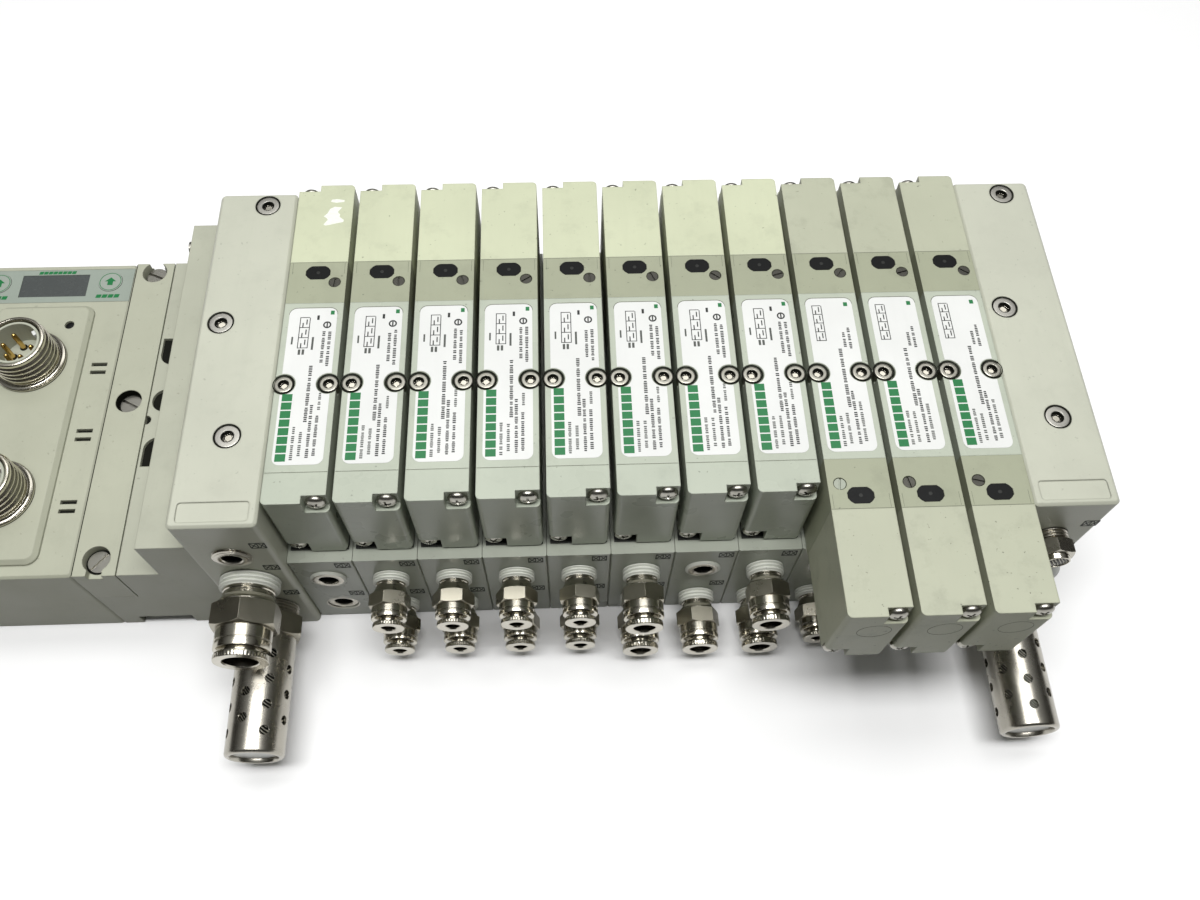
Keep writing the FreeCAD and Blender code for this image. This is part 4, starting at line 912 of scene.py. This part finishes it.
# What is printed on the labels of single and double valves, in mm from the screws' line: the
# green bar's sides, the green square, lines of words (x, start, end, size, ink), the flow
# symbol with its number of squares, and plain fields
SINGLE_PRINT = (
    (-6.2, -3.3), (5.0, 6.1, 23.6, 25.0),
    ((-1.9, -24.2, -14.2, 0.85, GREY_INK), (0.1, -23.0, -14.2, 0.85, GREY_INK),
     (0.9, -12.4, 6.6, 1.0, DARK_INK), (2.3, -23.6, -6.6, 0.9, DARK_INK),
     (4.1, -23.0, -10.6, 0.9, DARK_INK), (4.3, -8.6, -3.2, 0.8, GREY_INK),
     (3.6, 7.0, 17.6, 0.9, DARK_INK), (5.3, 5.8, 17.6, 0.9, DARK_INK)),
    (-3.7, -0.9, 12.0, 22.6, 3),
    [(-3.3, -2.6, 9.8, 11.6, GREY_INK), (-2.2, -1.5, 9.8, 11.6, GREY_INK),
     (1.2, 1.9, 21.8, 23.4, DARK_INK), (0.3, 0.9, 11.4, 15.8, GREY_INK),
     (-5.6, -5.1, 13.4, 16.0, GREY_INK)])
DOUBLE_PRINT = (
    (-6.0, -3.2), (4.4, 5.6, 23.0, 24.4),
    ((-1.9, -24.0, -13.4, 0.85, GREY_INK), (0.0, -23.2, -13.4, 0.85, GREY_INK),
     (1.2, -11.6, 7.6, 1.0, DARK_INK), (2.5, -23.4, -6.4, 0.9, DARK_INK),
     (4.2, -22.6, -10.2, 0.9, GREY_INK), (2.9, 8.6, 13.6, 0.85, DARK_INK),
     (4.5, 8.0, 15.4, 0.85, DARK_INK)),
    (-5.2, -2.5, 10.8, 23.2, 4), [])


def label_print(sides, square, lines, symbol, plain):
    """One label's fields: x from, x to, y from, y to, and the ink."""
    fields = blocks(*sides, -24.6, -2.9, 8, GREEN) + [(*square, GREEN)]
    for line in lines:
        fields += print_words(*line)
    return fields + valve_symbol(*symbol) + plain


def add_labels():
    ink_top = valve_top + INK_LIFT
    plate = slab(label_outline(), valve_top - SUNK, valve_top + LABEL_LIFT)
    ring = printed_ring(4.3, 20.0, 1.2, 0.75, valve_top, ink_top, 24)
    stem = bar(4.1, 4.5, 19.3, 20.7, valve_top, ink_top)
    ridge = slab(arc(4.75, 23.9, 2.35, 0, 90, 6) + arc(-4.75, 23.9, 2.35, 90, 180, 6)
                 + arc(-4.75, 23.6, 2.2, 180, 90, 6) + arc(4.75, 23.6, 2.2, 90, 0, 6),
                 valve_top - SUNK, valve_top + 0.03 * MM)
    labels, prints = [], []
    for number in STATIONS:
        where = at(station_x(number), 0, 0)
        labels += placed([(plate, LABEL), (ridge, LINE)], where)
        single = number <= SINGLE_VALVES
        for *field, ink in label_print(*(SINGLE_PRINT if single else DOUBLE_PRINT)):
            prints.append((bar(*field, valve_top + LABEL_LIFT * 0.9, ink_top), where, ink))
        if single:
            prints += placed([(ring, DARK_INK), (stem, DARK_INK)], where)
    piece("valve_labels", labels)
    piece("label_print", prints)


# Electronics module

def rounded_thread(start, end, turns, crest, root):
    """Profile of a thread with round crests, in ten steps a turn."""
    return [(start + (end - start) * step / turns / 10,
             root + (crest - root) * (0.5 - 0.5 * cos(2 * pi * step / 10)) ** 0.6)
            for step in range(turns * 10 + 1)]


def add_connectors():
    """Threaded shells on flanges round a keyed plastic sleeve, and pins with round tips."""
    low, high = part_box("connector_shells")
    base, height = low[2], (high[2] - low[2]) / MM
    shell = skin([
        (0.0, 11.0), (0.2, 11.4), (0.95, 11.4), (1.2, 11.2), (1.25, 10.5), (1.35, 10.35),
        (1.9, 10.3), (2.1, 10.1), (2.15, 9.3),
    ])
    thread = skin(rounded_thread(2.2, height - 1.7, 4, 9.9, 9.2))
    mouth = skin([
        (height - 1.7, 9.0), (height - 1.4, 9.45), (height - 0.5, 9.45), (height - 0.12, 9.2),
        (height, 8.9), (height, 8.5), (height - 0.25, 8.25), (height - 6.0, 8.2), (2.4, 8.2),
    ])
    gasket = skin([(0.0, 11.3), (0.02, 11.42), (0.3, 11.42)], 60)
    sleeve = skin([(2.4, 7.75), (height - 0.8, 7.75), (height - 0.6, 7.6), (height - 0.6, 7.05),
                   (height - 0.75, 6.95), (2.4, 6.95)])
    shells, pins = [], []
    pin_low, pin_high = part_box("connector_pins")
    length = (pin_high[2] - pin_low[2]) / MM
    pin = turned([(-0.2, 0.8), (length - 0.9, 0.8), (length - 0.45, 0.68), (length - 0.12, 0.42),
                  (length, 0.1)], 20)
    # Painted shadow: a dark disc round each pin's foot, for the shade in its hole
    seat = turned([(-0.1, 1.25), (0.03, 1.25), (0.04, 0.8)], 20)
    key = bar(-0.9, 0.9, -7.3, -5.9, 0.0, (height - 3.6) * MM)
    for name in ("connector_rear", "connector_front"):
        x, y, _ = mounts[name]["pos_m"]
        # The threads and mouths take the brighter nickel, a painted highlight.
        shells += placed([(shell, NICKEL), (thread, THREAD_HIGHLIGHT), (mouth, THREAD_HIGHLIGHT), (gasket, RUBBER),
                          (sleeve, INSERT)], at(x, y, base) @ UPRIGHT)
        shells.append((key, at(x, y, pin_low[2] - 0.1 * MM, "Z", 125), LABEL))
        for dx, dy in arc(0, 0, 4.4, 115, 355, 4):
            pins += placed([(pin, GOLD), (seat, SHADOW)],
                           at(x + dx * MM, y + dy * MM, pin_low[2]) @ UPRIGHT)
    piece("connector_threads", shells, replaces=["connector_shells"])
    piece("contact_pins", pins, replaces=["connector_pins"])


def add_module_print():
    """Printed fields on the overlay, and the rings and arrows on the keys."""
    lift = 0.03 * MM
    lean = 0.3
    parts = []
    for x0, x1, y0, y1, count in ((-6.2, 6.4, 69.75, 70.95, 8), (-22.65, -14.65, 59.5, 60.9, 4),
                                  (14.65, 22.65, 59.5, 60.9, 4)):
        step = (x1 - x0) / count
        for number in range(count):
            left = x0 + step * number
            right = left + step * 0.84
            shape = slab([(left, y0), (right, y0), (right + lean, y1), (left + lean, y1)],
                         overlay_top - lift, overlay_top + lift)
            parts.append((shape, at(module_middle, 0, 0), GREEN))
    piece("overlay_print", parts)
    for name in ("set_key", "next_key"):
        low, high = (Vector(corner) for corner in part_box(name))
        middle = (low + high) / 2
        key_top = high.z
        ring = printed_ring(0, 0, 3.62, 3.4, key_top - 0.1 * MM, key_top + lift, 48)
        head = [(-1.9, 0.1), (0.0, 1.75), (1.9, 0.1), (0.9, 0.1), (0.9, -1.45), (-0.9, -1.45),
                (-0.9, 0.1)]
        arrow = slab(head[::-1], key_top - 0.05 * MM, key_top + lift)
        piece(f"{name}_print", placed([(ring, GREEN), (arrow, GREEN)],
                                      at(middle.x, middle.y, 0)), name)


def add_lamp():
    """The small dark lamp beside the panel, low in its hole."""
    right, line, deep = 9.4 * MM, 47.2 * MM, 0.95 * MM
    lens = turned([(0.0, 1.5), (0.25, 1.45), (0.42, 1.1), (0.5, 0.2)], 28)
    piece("lamp_lens", [(lens, at(module_middle + right, line, module_high.z - deep) @ UPRIGHT,
                         BLACK)])


# Small marks, lines and wear

def add_pilot_lines():
    """Shallow inset panels on the pilot bodies, joint lines and ring marks on the coils."""
    height = (valve_top - 0.01 * MM, valve_top + 0.012 * MM)
    pilot = [(bar(*field, *height), LINE) for field in (
        (-7.8, -7.71, -42.6, -38.6), (7.65, 7.74, -42.6, -38.6), (-8.4, 8.4, -42.97, -42.83))]
    cover = [(bar(-8.4, 8.4, -27.97, -27.83, *height), LINE)]
    circle = [(skin([(0.0, 4.6), (0.06, 4.6), (0.06, 4.45), (0.0, 4.45)], 56), LINE)]
    mark_x, mark_z, proud = 1.0 * MM, blocks_high.z + 21.7 * MM, 0.02 * MM
    lines, ends = [], []
    for number in STATIONS:
        front, rear = (at(station_x(number), 0, 0, "Z", turn) for turn in (0, 180))
        double = number > SINGLE_VALVES
        lines += placed(pilot if double else cover, front) + placed(pilot, rear)
        if double:
            ends += placed(circle, front @ at(mark_x, coil_front + proud, mark_z))
        ends += placed(circle, rear @ at(mark_x, proud - cover_rear, mark_z))
    piece("pilot_panel_lines", lines)
    piece("coil_end_marks", ends)


def add_port_marks():
    """Small crossed frames beside the ports, in place of the castings' port marks."""
    lift, sunk, width = 0.06, 0.02, 0.34

    def stroke(x0, z0, x1, z1):
        along = Vector((x1 - x0, 0, z1 - z0)).normalized()
        side = Vector((-along.z, 0, along.x)) * width / 2
        start, end = Vector((x0, 0, z0)), Vector((x1, 0, z1))
        corners = [start - side, end - side, end + side, start + side]
        return rings([[(corner + Vector((0, -distance, 0))) * MM for corner in corners]
                      for distance in (-sunk, lift)])

    wide, tall = 2.1, 1.7
    strokes = [(-wide, -tall, wide, -tall), (wide, -tall, wide, tall), (wide, tall, -wide, tall),
               (-wide, tall, -wide, -tall), (-wide, -tall, 0, tall), (-wide, tall, 0, -tall),
               (0, tall, 0, -tall), (0.3, tall, wide, -tall), (0.3, -tall, wide, tall)]
    mark = merged([stroke(*line) for line in strokes])
    spots = [(station_x(number) + dx * MM, blocks_low.y, z * MM) for number in STATIONS
             for dx, z in ((6.1, 43.3), (5.9, 19.9))]
    spots += [(middle + dx * MM, plate_front, z * MM) for middle in plate_middles
              for dx, z in ((9.0, 64.8), (8.6, 48.6), (9.2, 27.8))]
    piece("port_marks", [(mark, at(*spot), MARK) for spot in spots])


def add_scuffs():
    """White paint rubbed onto the first rear cover."""
    patch = [
        (-0.1, 57.5), (0.5, 58.5), (1.1, 59.3), (0.6, 60.1), (-0.3, 60.7), (0.8, 61.9),
        (1.4, 63.6), (2.8, 64.5), (5.1, 64.2), (4.3, 63.0), (3.9, 62.4), (4.7, 61.4),
        (4.6, 60.4), (6.0, 59.2), (5.9, 58.4), (3.9, 57.9), (1.7, 57.3), (0.5, 57.1),
    ]
    dash = [(1.4, 66.7), (1.8, 67.4), (3.3, 67.6), (5.7, 67.1), (5.6, 66.4), (3.2, 66.1),
            (1.8, 66.4)]
    piece("paint_scuffs", [(slab(outline[::-1], valve_top - SUNK, valve_top + SUNK),
                            at(station_x(1), 0, 0), SCUFF) for outline in (patch, dash)])


def add_painted_shadows():
    """Painted shadow: dark pieces where shade falls in the module's vents, its joint with the clamp
    strip, the adapter's openings and the strip's screw recesses, seen as dark lines.
    """
    top = module_low.z + 42 * MM
    first_vent, vent_pitch, vent_apart, vent_half = 6.4, 24.8, 1.5, 0.6
    screw_deep = 2.9 * MM
    parts = []
    # Painted shadow: dark bars on the floors of the module's vents
    for pair in (-1, 0, 1):
        for side in (-1, 1):
            y = first_vent + pair * vent_pitch + side * vent_apart
            parts.append((bar(18.7, 23.5, y - vent_half, y + vent_half, top - 1.6 * MM,
                              top - 1.1 * MM), at(module_middle, 0, 0), SHADOW))
    strip_left, strip_right = (corner[0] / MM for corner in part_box("clamp_strip"))
    # Painted shadow: a dark bar in the joint between the module and the clamp strip
    parts.append((bar(module_high.x / MM - 0.08, strip_left + 0.08, module_low.y / MM + 0.3,
                      module_high.y / MM - 0.3, module_low.z + 30 * MM, top + 0.01 * MM),
                  Matrix(), SHADOW))
    # Painted shadow: a dark slab in the adapter's openings
    parts.append((bar(strip_right + 0.3, strip_right + 9.4, -5.8, 42.8, top - 1.7 * MM,
                      top - 1.2 * MM), Matrix(), SHADOW))
    # Painted shadow: dark rings round the strip's screws and a dark liner on the middle recess's wall
    shadow_rings = [(y, [(-0.1, reach), (0.0, reach), (0.0, 3.38)])
             for y, reach in ((69.8, 3.65), (18.5, 4.05), (-35.8, 4.05))]
    for y, profile in shadow_rings + [(18.5, [(0.0, 4.06), (2.7, 4.06)])]:
        parts.append((skin(profile, 44), at((strip_left + strip_right) / 2 * MM, y * MM,
                                            top - screw_deep) @ UPRIGHT, SHADOW))
    piece("painted_shadow_pieces", parts)


# Floor, light and camera

# Linear colours: as the camera and mirrors see the floor, and as it lights the part
FLOOR_SEEN = (0.87, 0.87, 0.87, 1.0)
FLOOR_LIT = (0.19, 0.19, 0.18, 1.0)


def add_floor():
    """Pale floor that shows white to the camera and keeps soft shadows."""
    half = 4.0
    floor = add_object("floor", mesh_from(
        [(-half, -half, 0), (half, -half, 0), (half, half, 0), (-half, half, 0)], [(0, 1, 2, 3)]))
    floor.location.z = cad_box[0][2] - 0.2 * MM
    finish = Finish("floor_paper", 0.9)
    path = finish.node("ShaderNodeLightPath").outputs
    seen = path["Is Camera Ray"]
    for kind in ("Is Glossy Ray", "Is Transmission Ray"):
        either = finish.node("ShaderNodeMath", {"operation": "MAXIMUM"})
        seen = finish.feed(either, {0: seen, 1: path[kind]}).outputs[0]
    cloud = finish.band(finish.noise(3.0, 3.0), 0.3, 0.7, 0.0, 0.1)
    paper = finish.mix(cloud, FLOOR_SEEN, shade(FLOOR_SEEN, 0.96))
    finish.colour(finish.mix(seen, FLOOR_LIT, paper))
    finish.shader.inputs["Specular IOR Level"].default_value = 0.1
    floor.data.materials.append(finish.done())


def add_world():
    """Bright overhead, dim near the horizon; white where the camera sees it."""
    world = bpy.data.worlds.new("studio")
    bpy.context.scene.world = world
    world.use_nodes = True
    nodes, link = world.node_tree.nodes, world.node_tree.links.new
    sky = nodes["Background"]
    lean = nodes.new("ShaderNodeVectorMath")
    lean.operation = "DOT_PRODUCT"
    lean.inputs[1].default_value = (0.0, 0.15, 0.99)
    ramp = nodes.new("ShaderNodeValToRGB")
    for stop, place, colour in zip(ramp.color_ramp.elements, (0.4, 0.9), (
            (0.035, 0.033, 0.028, 1.0), (0.28, 0.285, 0.28, 1.0))):
        stop.position, stop.color = place, colour
    white = nodes.new("ShaderNodeBackground")
    white.inputs["Color"].default_value = (1.0, 1.0, 1.0, 1.0)
    blend = nodes.new("ShaderNodeMixShader")
    link(nodes.new("ShaderNodeTexCoord").outputs["Generated"], lean.inputs[0])
    link(lean.outputs["Value"], ramp.inputs[0])
    link(ramp.outputs[0], sky.inputs["Color"])
    link(nodes.new("ShaderNodeLightPath").outputs["Is Camera Ray"], blend.inputs["Fac"])
    link(sky.outputs[0], blend.inputs[1])
    link(white.outputs[0], blend.inputs[2])
    link(blend.outputs[0], nodes["World Output"].inputs["Surface"])


def add_lamp_panel(name, place, size, power, aim):
    """A lamp of some watts; its place, size and aim are in metres."""
    light = bpy.data.lights.new(name, "AREA")
    light.shape = "RECTANGLE"
    light.size, light.size_y = size
    light.energy = power
    panel = add_object(name, light)
    panel.location = place
    panel.rotation_euler = (Vector(place) - Vector(aim)).to_track_quat("Z", "Y").to_euler()


def add_camera():
    """The photograph's camera, solved from the repeated stations."""
    tilt, yaw, roll = (radians(angle) for angle in (62.115, 4.058, -2.202))
    forward = Vector((sin(yaw) * cos(tilt), cos(yaw) * cos(tilt), -sin(tilt)))
    right = Vector((cos(yaw), -sin(yaw), 0))
    down = forward.cross(right)
    across = cos(roll) * right + sin(roll) * down
    below = -sin(roll) * right + cos(roll) * down
    lens = bpy.data.cameras.new("camera")
    lens.lens = 30.965
    lens.sensor_width = 36.0
    lens.clip_start = 0.01
    camera = add_object("camera", lens)
    camera.matrix_world = Matrix.Translation((-0.022135, -0.15532, 0.329875)) @ Matrix(
        (across, -below, -forward)).transposed().to_4x4()
    bpy.context.scene.camera = camera


bpy.context.scene.view_settings.view_transform = "Standard"
dress_solids()
add_fittings()
add_plugs()
add_silencers()
add_breather()
add_blank()
add_overrides()
add_windows()
add_cap_screws()
add_cover_screws()
add_labels()
add_connectors()
add_module_print()
add_lamp()
add_pilot_lines()
add_port_marks()
add_scuffs()
add_painted_shadows()
add_floor()
add_world()
add_lamp_panel("overhead", (-0.03, -0.125, 1.1), (0.86, 0.23), 11.0, (-0.03, -0.125, 0.0))
add_lamp_panel("behind", (-0.03, 0.19, 1.1), (0.86, 0.2), 3.2, (-0.03, 0.19, 0.0))
add_lamp_panel("far_card", (0.05, 0.62, 1.05), (1.25, 0.32), 2.4, (0.0, 0.0, 0.08))
add_camera()
